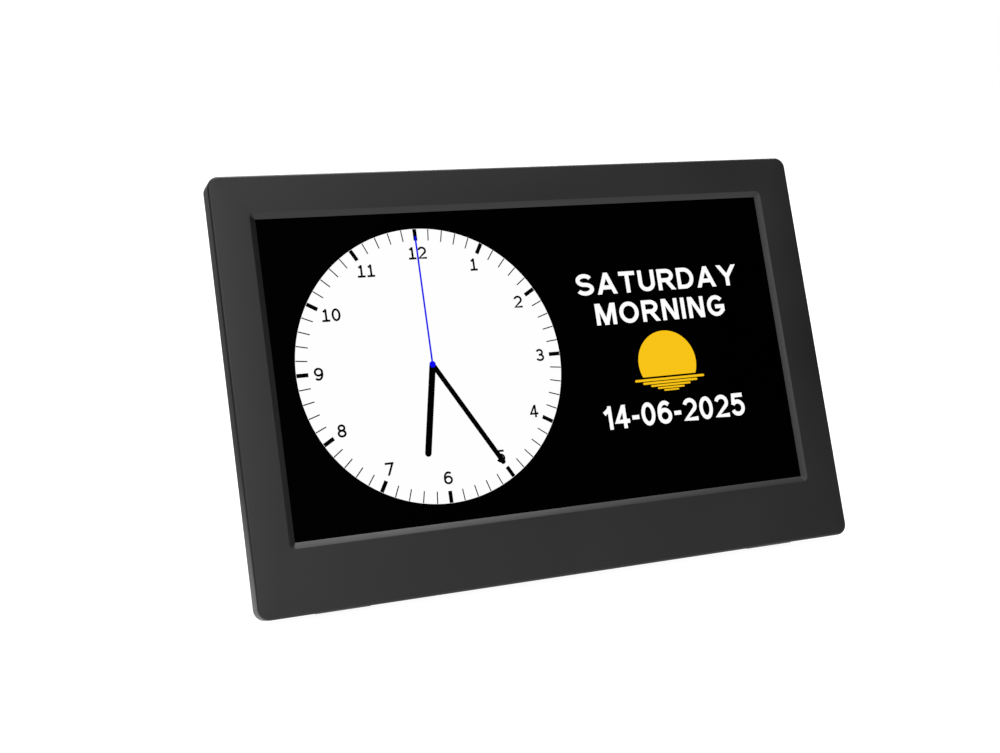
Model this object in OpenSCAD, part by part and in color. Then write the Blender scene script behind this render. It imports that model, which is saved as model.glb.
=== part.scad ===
// Day clock: a lit picture screen in a slim moulded frame, with its electronics in a shallow box behind
// and a fold-out leg. Lengths are in millimetres.
//
// Every piece is drawn upright, seen from the front: x to the viewer's right, y up, and z towards the
// viewer, with the origin in the middle of the frame's front face. "Depth" is the distance behind that
// face. standing() then leans the clock back and sets it on its feet: +Z is up and the front faces -Y.

/* [Screen window] */
// Width of the screen window
window_w = 223.5; // [216:0.5:236]
// Height of the screen window
window_h = 124.7; // [120:0.1:136]
// Width of the sloping edge round the window
slope_w = 2.4; // [1.4:0.1:3.6]
// Depth that the sloping edge falls
slope_d = 1.3; // [0.8:0.1:1.7]
// Height of the straight land under the slope
window_land = 0.2; // [0.1:0.1:0.4]
// Corner radius at the top of the slope
slope_r = 2.2; // [1:0.1:3]

/* [Front frame] */
// Border left of the window
border_left = 17.1; // [15.5:0.1:24]
// Border right of the window
border_right = 17.9; // [15.5:0.1:24]
// Border above the window
border_top = 17.3; // [16:0.1:24]
// Border below the window
border_bottom = 27.1; // [22:0.1:36]
// Depth of the front frame
frame_depth = 9.5; // [9:0.1:14]
// Outer corner radius
corner_r = 4.5; // [4.5:0.5:12]
// Rounding of the front edge
edge_r = 1; // [0.5:0.1:2]
// Thickness of the front plate
face_t = 2.4; // [2.2:0.1:3]
// Thickness of the side wall
side_wall = 2.2; // [1.8:0.1:3]
// Thickness of the rim that laps round the rear cover
rim_t = 1.2; // [0.8:0.1:1.5]

/* [Rear cover] */
// Thickness of the flat plate that closes the frame
plate_t = 2.2; // [2:0.1:2.6]
// Inset of the box from the sides of the frame
box_inset_side = 21.3; // [18:0.1:23]
// Inset of the box from the top of the frame
box_inset_top = 12.6; // [10:0.1:16]
// Inset of the box from the bottom of the frame
box_inset_bottom = 24.6; // [20:0.1:28]
// Depth of the back face behind the front face
back_depth = 26; // [25:0.1:32]
// Wall of the box
box_wall = 2.2; // [1.8:0.1:2.8]
// Corner radius of the box
box_r = 12; // [8:0.5:14]
// Rounding of the back edge
box_edge_r = 3; // [1.5:0.5:4]
// Width of one vent slot
vent_w = 2; // [1.2:0.1:2.6]
// Height of the vent slots
vent_h = 20; // [12:1:24]
// Spacing of the vent slots
vent_pitch = 5; // [4:0.5:6]
// Distance between the two wall-hanging keyholes
keyhole_span = 120; // [104:1:128]
// Radius of the round end of a keyhole
keyhole_r = 4.25; // [3.5:0.05:4.5]
// Width of the slot of a keyhole
keyhole_slot_w = 4.4; // [3:0.1:4.6]
// Length that the slot rises above the round end
keyhole_slot_h = 9; // [6:0.5:12]

/* [Lean and leg] */
// Lean back from the vertical, in degrees
lean = 21.6; // [15:0.1:28]
// Slope of the open leg from the vertical, in degrees
leg_slope = 27; // [22:0.5:34]
// Width of the leg at its hinge
leg_w = 60; // [50:1:62]
// Width of the leg at its foot
leg_end_w = 46; // [34:1:50]
// Thickness of the leg
leg_t = 5; // [4:0.1:6]
// Height of the hinge above the bottom of the box
hinge_rise = 48; // [36:1:52]
// Distance of the hinge axis in from the back face
hinge_in = 4.5; // [4.3:0.1:6]
// Radius of the hinge barrel
barrel_r = 4.2; // [3.5:0.1:4.3]
// Radius of the hinge pin
pin_r = 1.5; // [1:0.1:2]
// Length of the stop heel above the hinge axis
heel_l = 6; // [4:0.5:7]
// Length of the rubber boot on the leg
boot_l = 7; // [5:0.5:12]
// Wall of the rubber boot
boot_wall = 1.2; // [0.8:0.1:1.5]
// Rubber under the end of the leg
boot_sole = 2.5; // [1.5:0.5:4]

/* [Front feet] */
// Width of one rubber foot
foot_w = 22; // [12:1:30]
// Distance between the middles of the two feet
foot_span = 190; // [150:1:210]
// Depth of a foot from front to back
foot_d = 6.5; // [4:0.5:9]
// Height of a foot on the back of the frame
foot_h = 9; // [7:0.5:12]
// How far the feet hold the frame off the surface
foot_drop = 0.3; // [0.2:0.1:1]

/* [Screen module] */
// Rim of the screen module beyond the window at each side
lcd_rim_side = 5.8; // [5:0.1:7]
// Rim of the screen module beyond the window above and below
lcd_rim_end = 9.2; // [7:0.1:10]
// Sheet thickness of the steel front frame
lcd_sheet = 0.2; // [0.1:0.05:0.3]
// Thickness of the display glass
glass_t = 1.2; // [1:0.1:1.4]
// Thickness of the prism film and of the diffuser film
film_t = 0.3; // [0.1:0.05:0.3]
// Thickness of the light guide
guide_t = 2; // [1.6:0.1:2.2]
// Thickness of the reflector film
reflector_t = 0.2; // [0.1:0.05:0.3]
// Thickness of the steel back tray
tray_t = 0.4; // [0.3:0.1:0.6]
// Wall of the white moulded frame beside the films
mould_wall = 3.5; // [2:0.1:4]
// Height of the channel that holds the light strip
led_channel = 4; // [3:0.1:5]
// Number of lamps on the light strip
led_count = 36; // [18:1:45]
// Height of the driver board
driver_h = 14; // [10:0.5:16]
// Length of the driver board
driver_w = 180; // [120:1:195]
// Thickness of the driver board
driver_t = 0.8; // [0.6:0.1:1.2]
// Width of the flexible circuit between glass and driver board
flex_w = 60; // [40:1:70]

/* [Main board] */
// Width of the main board
board_w = 64; // [60:1:65]
// Rise of the main board above the bottom of the box
board_lift = 29.9; // [26:0.1:33]
// Thickness of the circuit boards
board_t = 1.6; // [1:0.1:2]
// Space between the main board and the back wall
board_space = 9.2; // [9:0.1:10]
// Gap between the main board and the side wall
board_gap = 1.2; // [0.6:0.1:2]
// Drop of the main board below the inside of the box's top
board_drop = 7.8; // [6:0.1:10]
// Radius of a board post
post_r = 2.8; // [2.2:0.1:3.2]
// Distance of a post from the edges of the board
post_in = 4.1; // [3.4:0.1:5]

/* [Sockets] */
// Radius of the power inlet's hole
inlet_r = 3; // [2.8:0.05:3.2]
// Radius of the power inlet's centre pin
inlet_pin_r = 1; // [0.8:0.05:1.25]
// Depth of the power inlet's hole
inlet_l = 9.5; // [8:0.5:11]
// Width of the memory stick socket
usb_w = 13.2; // [12:0.1:14]
// Thickness of the memory stick socket
usb_t = 5.8; // [5:0.1:7]
// Width of the memory card socket
card_w = 28; // [26:0.5:29]
// Thickness of the memory card socket
card_t = 2.9; // [2.6:0.1:3.6]

/* [Keys] */
// Length of a key top
key_w = 8; // [6:0.1:8.4]
// Height of a key top
key_h = 5; // [4:0.1:7]
// Spacing of the keys
key_pitch = 11.25; // [10.8:0.05:12.5]
// How far the keys stand out of the back face
key_proud = 1.2; // [0.8:0.1:2]
// Travel of a key
key_travel = 0.5; // [0.3:0.05:0.6]
// Retaining flange round a key
key_flange = 0.8; // [0.5:0.1:1]
// Distance of the key row below the top of the box
key_drop = 14; // [12:0.5:16]
// Side of a switch body
switch_w = 6; // [5:0.1:7]
// Height of a switch body
switch_t = 3.5; // [3:0.1:4]
// Radius of a switch plunger
plunger_r = 1.6; // [1.2:0.1:2]

/* [Speaker] */
// Side of the speaker's flange
speaker_w = 40; // [34:1:42]
// Radius of the speaker's cone
speaker_r = 16; // [12:0.5:16.5]
// Depth of the speaker's basket
basket_d = 6.3; // [5:0.1:7]
// Radius of the magnet
magnet_r = 9; // [6:0.5:10]
// Thickness of the magnet
magnet_t = 4; // [3:0.1:5]
// Radius of a hole in the speaker grille
grille_hole_r = 1.1; // [0.7:0.05:1.3]
// Spacing of the rings of grille holes
grille_pitch = 4.4; // [3.6:0.1:4.8]

/* [Screws] */
// Shank radius of the case screws
case_screw_r = 1.3; // [1:0.05:1.5]
// Head radius of the case screws
case_head_r = 2.5; // [2:0.1:2.6]
// Head height of the case screws
case_head_h = 1.3; // [0.8:0.1:1.4]
// Radius of a case screw boss
boss_r = 3; // [2.6:0.1:3.4]
// Shank radius of the board and speaker screws
board_screw_r = 1.1; // [0.9:0.05:1.3]
// Length of the board screws
board_screw_l = 5.5; // [4:0.5:6]

/* [Clearances] */
// Gap round the rear cover's plate in the frame
plate_gap = 0.15; // [0.1:0.05:0.25]
// Gap round the screen module in its pocket
pocket_gap = 0.3; // [0.1:0.1:0.5]
// Gap between screen pieces that slide together
slip = 0.2; // [0.1:0.05:0.3]
// Radial gap between a screw and its pilot hole
thread_gap = 0.02; // [0.01:0.01:0.05]
// Radial gap of the hinge pin in the leg
pin_gap = 0.05; // [0.02:0.01:0.1]
// Gap between a moving piece and what it rests against
rest_gap = 0.3; // [0.2:0.05:0.4]
// Gap at each side of the leg in its bay
bay_gap = 0.6; // [0.4:0.1:1]
// Gap round a key in its hole
key_gap = 0.25; // [0.15:0.05:0.35]
// Gap round a socket in the side wall
socket_gap = 0.35; // [0.2:0.05:0.5]

/* [Hidden] */
$fn = 64;
eps = 0.05;
KEYS = ["power", "menu", "up", "down", "left", "right", "exit"];

// Outline of the clock
outer_w = border_left + window_w + border_right;
outer_h = border_top + window_h + border_bottom;
window_x = (border_left - border_right) / 2;
window_y = (border_bottom - border_top) / 2;
lip_t = slope_d + window_land;
plate_d = frame_depth - plate_t;

// Box on the back
box_w = outer_w - 2 * box_inset_side;
box_top = outer_h / 2 - box_inset_top;
box_bottom = -outer_h / 2 + box_inset_bottom;
box_h = box_top - box_bottom;
box_y = (box_top + box_bottom) / 2;
box_in_x = box_w / 2 - box_wall;
wall_d = back_depth - box_wall;

// Standing place: the frame's lower back edge is foot_drop above the surface
edge_y = -outer_h / 2;
stand_z = -edge_y * cos(lean) + frame_depth * sin(lean) + foot_drop;
hinge_y = box_bottom + hinge_rise;
hinge_d = back_depth - hinge_in;
hinge_up = hinge_y * cos(lean) - hinge_d * sin(lean) + stand_z;
hinge_back = hinge_y * sin(lean) + hinge_d * cos(lean);
open_angle = lean + leg_slope;
front_reach = (edge_y + edge_r) * sin(lean) + edge_r * cos(lean) - edge_r;
foot_reach = hinge_back + hinge_up * tan(leg_slope) + leg_t / 2 / cos(leg_slope);
box_reach = (box_top - box_edge_r) * sin(lean) + (back_depth - box_edge_r) * cos(lean) + box_edge_r;
stand_y = -(front_reach + max(foot_reach, box_reach)) / 2;

// Leg
bay_w = leg_w + 2 * bay_gap;
bay_wall = 2;
ear_l = 3;
ear_wall = 2.3;
bay_floor_d = hinge_d - barrel_r - rest_gap;
bay_top = hinge_y + norm([heel_l, barrel_r]) + 1.2;
sole_mid = hinge_up / cos(leg_slope);
tongue_end = sole_mid - leg_t / 2 * tan(leg_slope) - boot_sole;
boot_start = tongue_end - boot_l;
blade_w = leg_w - 1.2;
heel_step = 0.1;
heel_t = 2.9;
leg_shoulder = 12;
leg_skin = 2.4;
leg_rib = 3;

// Screen module, from the front to the back
lcd_w = window_w + 2 * lcd_rim_side;
lcd_h = window_h + 2 * lcd_rim_end;
lcd_bottom = window_y - lcd_h / 2;
frame_lip = 1.3;
glass_d = lip_t + lcd_sheet;
film_d = glass_d + glass_t;
guide_d = film_d + 2 * film_t;
reflector_d = guide_d + guide_t;
tray_d = reflector_d + reflector_t;
lcd_back = tray_d + tray_t;
mould_w = lcd_w - 2 * lcd_sheet - slip;
mould_h = lcd_h - 2 * lcd_sheet - slip;
glass_rim = 1.9;
glass_w = mould_w - 2 * glass_rim - slip;
glass_h = mould_h - 2 * glass_rim - slip;
film_w = mould_w - 2 * mould_wall - slip;
film_h = mould_h - 2 * mould_wall - slip - led_channel;
film_y = window_y + led_channel / 2;
channel_y = window_y - mould_h / 2 + mould_wall;
led_strip_t = 0.8;
driver_y = lcd_bottom + 8.6;
foam_w = 8;
foam_edge = 1;
foam_low = 12;
foam_high = 23.9;
foam_top_h = 4;
foam_top_side = 27.55;
foam_foot_w = 60;
foam_foot_h = 4.4;
foam_foot_side = 45.55;
flex_t = 0.15;
flex_end_d = film_d - 0.25;
flex_r = (lcd_back - flex_end_d + flex_t) / 2;

// Main board
board_back_d = wall_d - board_space;
board_d = board_back_d - board_t;
board_left = -box_in_x + board_gap;
board_right = board_left + board_w;
board_top = box_top - box_wall - board_drop;
board_bottom = box_bottom + board_lift;
board_h = board_top - board_bottom;
inlet_drop = 18;
usb_drop = 24;
card_drop = 28;
inlet_rise = 4.6;
inlet_y = board_top - inlet_drop;
usb_y = inlet_y - usb_drop;
card_y = usb_y - card_drop;
inlet_d = board_back_d + inlet_rise;
inlet_body_w = 9;
inlet_body_t = 8.8;
nose_r = inlet_r + 1.2;
nose_x = -box_w / 2 + 0.2;
usb_d = board_back_d + usb_t / 2;
card_d = board_back_d + card_t / 2;
keyhole_y = box_y + 24;
socket_shell_t = 0.35;
socket_in = 0.4;
usb_l = 14.5;
card_l = 26;
card_side = 1.6;

// Parts on the main board
cell_r = 10;
cell_t = 3.2;
cell_in = 19.4;
cell_up = 16;
cell_x = board_right - cell_in;
cell_y = board_bottom + cell_up;
cell_wall = 2;
cell_floor = 0.8;
cell_step = 0.6;
processor_w = 22;
processor_t = 1.6;
processor_in = 21.4;
processor_up = 42;
processor_x = board_right - processor_in;
processor_y = board_bottom + processor_up;
mark_in = 2.4;
mark_r = 0.8;
mark_cut = 0.1;
memory_w = 10;
memory_h = 14;
memory_t = 1.1;
memory_pitch = 13;
memory_in = 24;
memory_up = 66;
can_r = 3.15;
can_t = 5.8;
can_pitch = 8.5;
can_in = 21;
can_drop = 12;
coil_w = 7;
coil_t = 4;
coil_r = 1.5;
coil_in = 22;
coil_drop = 30;
regulator_w = 5;
regulator_h = 3.2;
regulator_t = 1.2;
regulator_in = 32;

// Cables and their plugs
display_w = 25;
display_x = board_left + board_w / 2;
display_t = 0.3;
display_rise = 1.4;
plug_w = 27;
plug_h = 5;
plug_t = 2.4;
driver_plug_t = 1.8;
plug_in = 3;
key_cable_w = 6;
key_cable_t = 0.8;
key_cable_in = 8;
key_cable_d = board_d - 2.2;
key_socket_in = 5.7;
key_plug_w = 5;
key_plug_h = 7.5;
key_plug_t = 3;
key_plug_in = 11;
lead_y = hinge_y - 4;
lead_r = 0.6;
lead_gap = 0.9;
lead_plug_w = 6;
lead_plug_h = 5.5;
lead_plug_in = 3.5;

// Rating label
label_w = 37;
label_h = 14;
label_t = 0.15;
label_y = box_top - 12;

// Keys
key_y = box_top - key_drop;
flange_t = 0.8;
flange_d = wall_d - rest_gap;
key_post_r = 2.5;
key_board_in = 2.8;
key_board_right = box_in_x - key_board_in;
key_margin = 2 * key_post_r + 1 + 0.6 + key_w / 2 + key_flange;
key_row_end = key_board_right - key_margin;
key_board_left = key_row_end - (len(KEYS) - 1) * key_pitch - key_margin;
key_board_h = 13;
stem_l = 1.3;
plunger_top_d = flange_d - flange_t - stem_l;
switch_top_d = plunger_top_d - key_travel - 0.8;
key_board_back_d = switch_top_d - switch_t;
key_board_d = key_board_back_d - board_t;
plunger_in = 1.2;
plunger_gap = 0.1;

// Speaker
speaker_x = box_in_x - speaker_w / 2 - 19.8;
speaker_y = box_bottom + speaker_w / 2 + 20;
gasket_t = 0.7;
surround_t = 0.3;
flange_back_d = wall_d - gasket_t - surround_t;
speaker_flange_t = 1;
basket_front_d = flange_back_d - speaker_flange_t;
basket_end_d = basket_front_d - basket_d;
speaker_hole = speaker_w / 2 - 3.2;

// Screw places
boss_x = outer_w / 2 - side_wall - boss_r + 0.2;
boss_y = outer_h / 2 - 11;
boss_low = -outer_h / 2 + side_wall + boss_r - 0.2;
boss_mid = 45;
CASE_SCREWS = [
    [-boss_x, boss_y], [boss_x, boss_y], [-boss_x, -boss_y], [boss_x, -boss_y],
    [-boss_mid, boss_low], [boss_mid, boss_low]
];
BOARD_POSTS = [
    for (x = [board_left + post_in, board_right - post_in])
        for (y = [board_bottom + post_in, board_top - post_in]) [x, y]
];
KEY_POSTS = [for (x = [key_board_left + key_post_r + 0.5, key_board_right - key_post_r - 0.5]) [x, key_y]];
SPEAKER_POSTS = [for (x = [-1, 1], y = [-1, 1]) [speaker_x + x * speaker_hole, speaker_y + y * speaker_hole]];

// ---- Places and plain shapes ----

// Leans an upright piece back and stands it on the surface
module standing() {
    translate([0, stand_y, stand_z]) rotate([90 - lean, 0, 0]) children();
}

// A flat layer t thick, whose front lies at depth d
module layer(d, t) {
    translate([0, 0, -d - t]) linear_extrude(t) children();
}

// A round bar along z from depth d to depth d + t
module bar(r, d, t) {
    layer(d, t) circle(r);
}

// The frame of the leg's hinge: the open leg points to -y
module at_hinge() {
    translate([0, hinge_y, -hinge_d]) children();
}

module rounded_rect(w, h, r) {
    square([w - 2 * r, h], center = true);
    square([w, h - 2 * r], center = true);
    for (x = [-1, 1], y = [-1, 1]) translate([x * (w / 2 - r), y * (h / 2 - r)]) circle(r);
}

// A slot with round ends, along x
module slot(w, h) {
    square([w - h, h], center = true);
    for (x = [-1, 1]) translate([x * (w - h) / 2, 0]) circle(h / 2);
}

// Cross-section of a block whose two upper edges are rounded
module soft_section(w, t, edge) {
    translate([-w / 2, 0]) square([w, t - edge]);
    translate([-w / 2 + edge, 0]) square([w - 2 * edge, t]);
    for (x = [-1, 1]) translate([x * (w / 2 - edge), t - edge]) circle(edge);
}

// A block with round corners, whose upper edge is rounded all the way round
module soft_block(w, h, t, r, edge) {
    rotate([90, 0, 90]) linear_extrude(w - 2 * r, center = true) soft_section(h, t, edge);
    rotate([90, 0, 0]) linear_extrude(h - 2 * r, center = true) soft_section(w, t, edge);
    for (x = [-1, 1], y = [-1, 1]) translate([x * (w / 2 - r), y * (h / 2 - r)]) rotate_extrude() {
        square([r, t - edge]);
        square([r - edge, t]);
        translate([r - edge, t - edge]) circle(edge);
    }
}

// A pan-head screw: the head's seat is at depth d, and the shank runs towards the front
module screw_in(shank_r, shank_l, head_r, head_h, d) {
    difference() {
        union() {
            bar(shank_r, d - shank_l, shank_l + eps);
            bar(head_r, d, head_h);
        }
        for (a = [0, 90]) rotate(a) layer(d + head_h * 0.45, head_h)
            square([head_r * 1.3, head_r * 0.3], center = true);
    }
}

// The same screw put in from the front, its shank running towards the back
module screw_from_front(shank_r, shank_l, head_r, head_h, d) {
    difference() {
        union() {
            bar(shank_r, d - eps, shank_l + eps);
            bar(head_r, d - head_h, head_h);
        }
        for (a = [0, 90]) rotate(a) layer(d - head_h - eps, head_h * 0.55)
            square([head_r * 1.3, head_r * 0.3], center = true);
    }
}

// A round lead through the points p
module lead(p, r) {
    for (i = [0:len(p) - 2]) hull() for (end = [p[i], p[i + 1]]) translate(end) sphere(r, $fn = 12);
}

// ---- Casings ----

module window_cut() {
    translate([window_x, window_y, 0]) {
        layer(-1, face_t + 2) square([window_w, window_h], center = true);
        hull() {
            layer(-eps, eps) rounded_rect(window_w + 2 * slope_w, window_h + 2 * slope_w, slope_r, $fn = 32);
            layer(slope_d - eps, eps) square([window_w, window_h], center = true);
        }
        layer(lip_t, face_t) square([lcd_w + 2 * pocket_gap, lcd_h + 2 * pocket_gap], center = true);
    }
}

module front_frame() color("#363638") standing() difference() {
    union() {
        difference() {
            translate([0, 0, -frame_depth]) soft_block(outer_w, outer_h, frame_depth, corner_r, edge_r);
            layer(face_t, plate_d - face_t)
                rounded_rect(outer_w - 2 * side_wall, outer_h - 2 * side_wall, corner_r - side_wall);
            layer(plate_d - eps, plate_t + 1)
                rounded_rect(outer_w - 2 * rim_t, outer_h - 2 * rim_t, corner_r - rim_t);
        }
        for (p = CASE_SCREWS) translate(p) bar(boss_r, face_t - eps, plate_d - face_t + eps);
    }
    window_cut();
    for (p = CASE_SCREWS) translate(p) bar(case_screw_r + thread_gap, face_t + 0.6, plate_d);
}

module box_shell() {
    plate_w = outer_w - 2 * (rim_t + plate_gap);
    plate_h = outer_h - 2 * (rim_t + plate_gap);
    difference() {
        union() {
            layer(plate_d, plate_t) rounded_rect(plate_w, plate_h, corner_r - rim_t - plate_gap);
            translate([0, box_y, -frame_depth + 1]) mirror([0, 0, 1])
                soft_block(box_w, box_h, back_depth - frame_depth + 1, box_r, box_edge_r);
        }
        translate([0, box_y, 0]) layer(plate_d - 1, wall_d - plate_d + 1)
            rounded_rect(box_w - 2 * box_wall, box_h - 2 * box_wall, box_r - box_wall);
    }
}

// Bay that takes the folded leg, with the ears for the hinge pin
module bay_walls() {
    bay_bottom = box_bottom + box_wall / 2;
    bay_back = wall_d + box_wall / 2;
    translate([-bay_w / 2 - bay_wall, bay_bottom, -bay_back])
        cube([bay_w + 2 * bay_wall, bay_top + bay_wall - bay_bottom, bay_back - bay_floor_d + bay_wall]);
    at_hinge() rotate([0, 90, 0])
        cylinder(h = bay_w + 2 * (bay_wall + ear_l), r = pin_r + ear_wall, center = true);
}

module bay_cut() {
    translate([-bay_w / 2, box_bottom - 1, -back_depth - 1])
        cube([bay_w, bay_top - box_bottom + 1, back_depth + 1 - bay_floor_d]);
    at_hinge() rotate([0, 90, 0])
        cylinder(h = bay_w + 2 * (bay_wall + ear_l) + 1, r = pin_r + thread_gap, center = true);
}

module cover_posts() {
    for (p = BOARD_POSTS) translate(p) bar(post_r, board_back_d, board_space + eps);
    for (p = KEY_POSTS) translate(p) bar(key_post_r, key_board_back_d, wall_d - key_board_back_d + eps);
    for (p = SPEAKER_POSTS) translate(p) bar(key_post_r, flange_back_d, wall_d - flange_back_d + eps);
}

module cover_pilots() {
    for (p = BOARD_POSTS) translate(p) bar(board_screw_r + thread_gap, board_back_d - eps, board_screw_l);
    for (p = KEY_POSTS) translate(p) bar(board_screw_r + thread_gap, key_board_back_d - eps, board_screw_l);
    for (p = SPEAKER_POSTS) translate(p) bar(board_screw_r + thread_gap, flange_back_d - eps, box_wall);
    for (p = CASE_SCREWS) translate(p) {
        bar(case_screw_r + 0.3, plate_d - 1, plate_t + 2);
        bar(case_head_r + 0.3, frame_depth - case_head_h, case_head_h + 1);
    }
}

module keyholes() {
    for (s = [-1, 1]) translate([s * keyhole_span / 2, keyhole_y, 0]) {
        bar(keyhole_r, wall_d - 1, box_wall + 2);
        layer(wall_d - 1, box_wall + 2) {
            translate([-keyhole_slot_w / 2, 0]) square([keyhole_slot_w, keyhole_slot_h]);
            translate([0, keyhole_slot_h]) circle(keyhole_slot_w / 2);
        }
    }
}

module vents() {
    for (i = [-4:4]) translate([i * vent_pitch, keyhole_y, 0])
        layer(wall_d - 1, box_wall + 2) rotate(90) slot(vent_h, vent_w);
}

module grille() {
    translate([speaker_x, speaker_y, 0]) for (ring = [0:3]) for (i = [0:max(6 * ring - 1, 0)])
        rotate(60 * i / max(ring, 1)) translate([ring * grille_pitch, 0, 0])
            bar(grille_hole_r, wall_d - 1, box_wall + 2);
}

module socket_cuts() {
    side_x = -box_w / 2 - 1;
    cut = box_wall + 1.5;
    translate([side_x, inlet_y, -inlet_d]) rotate([0, 90, 0]) cylinder(h = cut, r = nose_r + socket_gap);
    translate([side_x, usb_y - usb_w / 2 - socket_gap, -usb_d - usb_t / 2 - socket_gap])
        cube([cut, usb_w + 2 * socket_gap, usb_t + 2 * socket_gap]);
    translate([side_x, card_y - card_w / 2 - socket_gap, -card_d - card_t / 2 - socket_gap])
        cube([cut, card_w + 2 * socket_gap, card_t + 2 * socket_gap]);
}

module key_cuts() {
    for (i = [0:len(KEYS) - 1]) at_key(i) layer(wall_d - 1, box_wall + 2)
        slot(key_w + 2 * key_gap, key_h + 2 * key_gap);
}

module rear_cover() color("#2f2f31") standing() difference() {
    union() {
        box_shell();
        bay_walls();
        cover_posts();
    }
    bay_cut();
    cover_pilots();
    keyholes();
    vents();
    grille();
    socket_cuts();
    key_cuts();
    translate([0, label_y, 0]) layer(back_depth - label_t, 1) square([label_w, label_h], center = true);
}

// ---- Screen module ----

module at_window() {
    translate([window_x, window_y, 0]) children();
}

// The slot that lets the flexible circuit out at the bottom of the module
module flex_slot() {
    translate([window_x - flex_w / 2 - slip, lcd_bottom - 1, -flex_end_d - flex_t / 2 - slip])
        cube([flex_w + 2 * slip, glass_rim + lcd_sheet + slip + 1.5, flex_t + 2 * slip]);
}

module lcd_front_frame() color("#232325") standing() difference() {
    at_window() layer(lip_t, tray_d - lip_t) square([lcd_w, lcd_h], center = true);
    at_window() layer(glass_d, tray_d) square([lcd_w - 2 * lcd_sheet, lcd_h - 2 * lcd_sheet], center = true);
    at_window() layer(lip_t - 1, 2)
        square([window_w + 2 * frame_lip, window_h + 2 * frame_lip], center = true);
    flex_slot();
}

module lcd_glass() color("#050506") standing() at_window()
    layer(glass_d, glass_t) square([glass_w, glass_h], center = true);

module lcd_mould_frame() color("#e8e8e6") standing() difference() {
    at_window() layer(glass_d, tray_d - glass_d) square([mould_w, mould_h], center = true);
    at_window() layer(glass_d - 1, glass_t + 1) square([glass_w + slip, glass_h + slip], center = true);
    at_window() layer(film_d - eps, tray_d)
        square([mould_w - 2 * mould_wall, mould_h - 2 * mould_wall], center = true);
    flex_slot();
}

// A film or plate of the backlight stack
module stack_sheet(d, t) {
    translate([window_x, film_y, 0]) layer(d, t) square([film_w, film_h], center = true);
}

module prism_film() color("#dfe3e6") standing() stack_sheet(film_d, film_t);

module diffuser_film() color("#f2f2f0") standing() stack_sheet(film_d + film_t, film_t);

module light_guide() color("#e6f0f2") standing() stack_sheet(guide_d, guide_t);

module reflector_film() color("#ffffff") standing() stack_sheet(reflector_d, reflector_t);

module led_strip() color("#f4f1d8") standing() {
    lamp_pitch = film_w / led_count;
    translate([window_x - film_w / 2, channel_y, -tray_d]) cube([film_w, led_strip_t, tray_d - film_d]);
    for (i = [0:led_count - 1]) translate([window_x - film_w / 2 + lamp_pitch * (i + 0.2), channel_y, 0])
        translate([0, led_strip_t - eps, -guide_d - guide_t + 0.3])
            cube([lamp_pitch * 0.6, 1.2, guide_t - 0.5]);
}

module lcd_rear_tray() color("#b9bcc0") standing() at_window() layer(tray_d, tray_t) difference() {
    square([lcd_w, lcd_h], center = true);
    for (x = [-1, 1]) translate([x * lcd_w * 0.4, lcd_h * 0.38]) circle(2);
}

module lcd_driver_board() color("#2d5f46") standing() {
    translate([window_x, driver_y + driver_h / 2, 0]) layer(lcd_back, driver_t)
        square([driver_w, driver_h], center = true);
    for (x = [-1, 0, 1]) translate([window_x + x * driver_w * 0.3, driver_y + driver_h * 0.35, 0])
        layer(lcd_back + driver_t - eps, 0.9 + eps) square([16, 3], center = true);
}

// Flexible circuit: out of the glass, round the bottom of the module, and up its back
module lcd_flex() color("#b5742f") standing() translate([window_x - flex_w / 2, 0, 0]) rotate([90, 0, 90])
    linear_extrude(flex_w) difference() {
        mid_y = lcd_bottom - slip;
        mid_z = -(flex_end_d + flex_r);
        union() {
            translate([mid_y, mid_z]) circle(flex_r + flex_t / 2);
            translate([mid_y, -flex_end_d - flex_t / 2]) square([window_y - glass_h / 2 - mid_y, flex_t]);
            translate([mid_y, -lcd_back - flex_t]) square([driver_y - mid_y, flex_t]);
        }
        translate([mid_y, mid_z]) circle(flex_r - flex_t / 2);
        translate([mid_y, mid_z - flex_r + flex_t / 2]) square([2 * flex_r, 2 * flex_r - flex_t]);
    }

// Foam that holds the module between the frame and the rear cover's plate
module foam_strips() color("#3a3a3c") standing() layer(lcd_back, plate_d - lcd_back) {
    side_h = box_h - foam_low - foam_high;
    top_w = lcd_w - 2 * foam_top_side;
    left_x = window_x - lcd_w / 2 + foam_edge;
    right_x = window_x + lcd_w / 2 - foam_w - foam_edge;
    for (x = [left_x, right_x]) translate([x, box_bottom + foam_low]) square([foam_w, side_h]);
    translate([window_x - top_w / 2, box_top - box_wall + foam_edge]) square([top_w, foam_top_h]);
    for (x = [-1, 1]) translate([window_x + x * (lcd_w / 2 - foam_foot_side), lcd_bottom + foam_foot_h])
        square([foam_foot_w, foam_foot_h], center = true);
}

// ---- Main board and its parts ----

// A flat part on the back of the main board
module on_board(x, y, w, h, t, r = 0.2) {
    translate([x, y, 0]) layer(board_back_d, t) rounded_rect(w, h, r);
}

module main_board() color("#2a6b45") standing() difference() {
    layer(board_d, board_t) translate([board_left, board_bottom]) square([board_w, board_h]);
    for (p = BOARD_POSTS) translate(p) bar(board_screw_r + 0.25, board_d - 1, board_t + 2);
}

module processor() color("#1b1b1d") standing() difference() {
    mark = processor_w / 2 - mark_in;
    on_board(processor_x, processor_y, processor_w, processor_w, processor_t);
    translate([processor_x - mark, processor_y + mark, 0])
        bar(mark_r, board_back_d + processor_t - mark_cut, 1);
}

module memory_chips() color("#1f1f22") standing() for (i = [0, 1])
    on_board(
        board_right - memory_in + i * memory_pitch, board_bottom + memory_up, memory_w, memory_h, memory_t
    );

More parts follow.
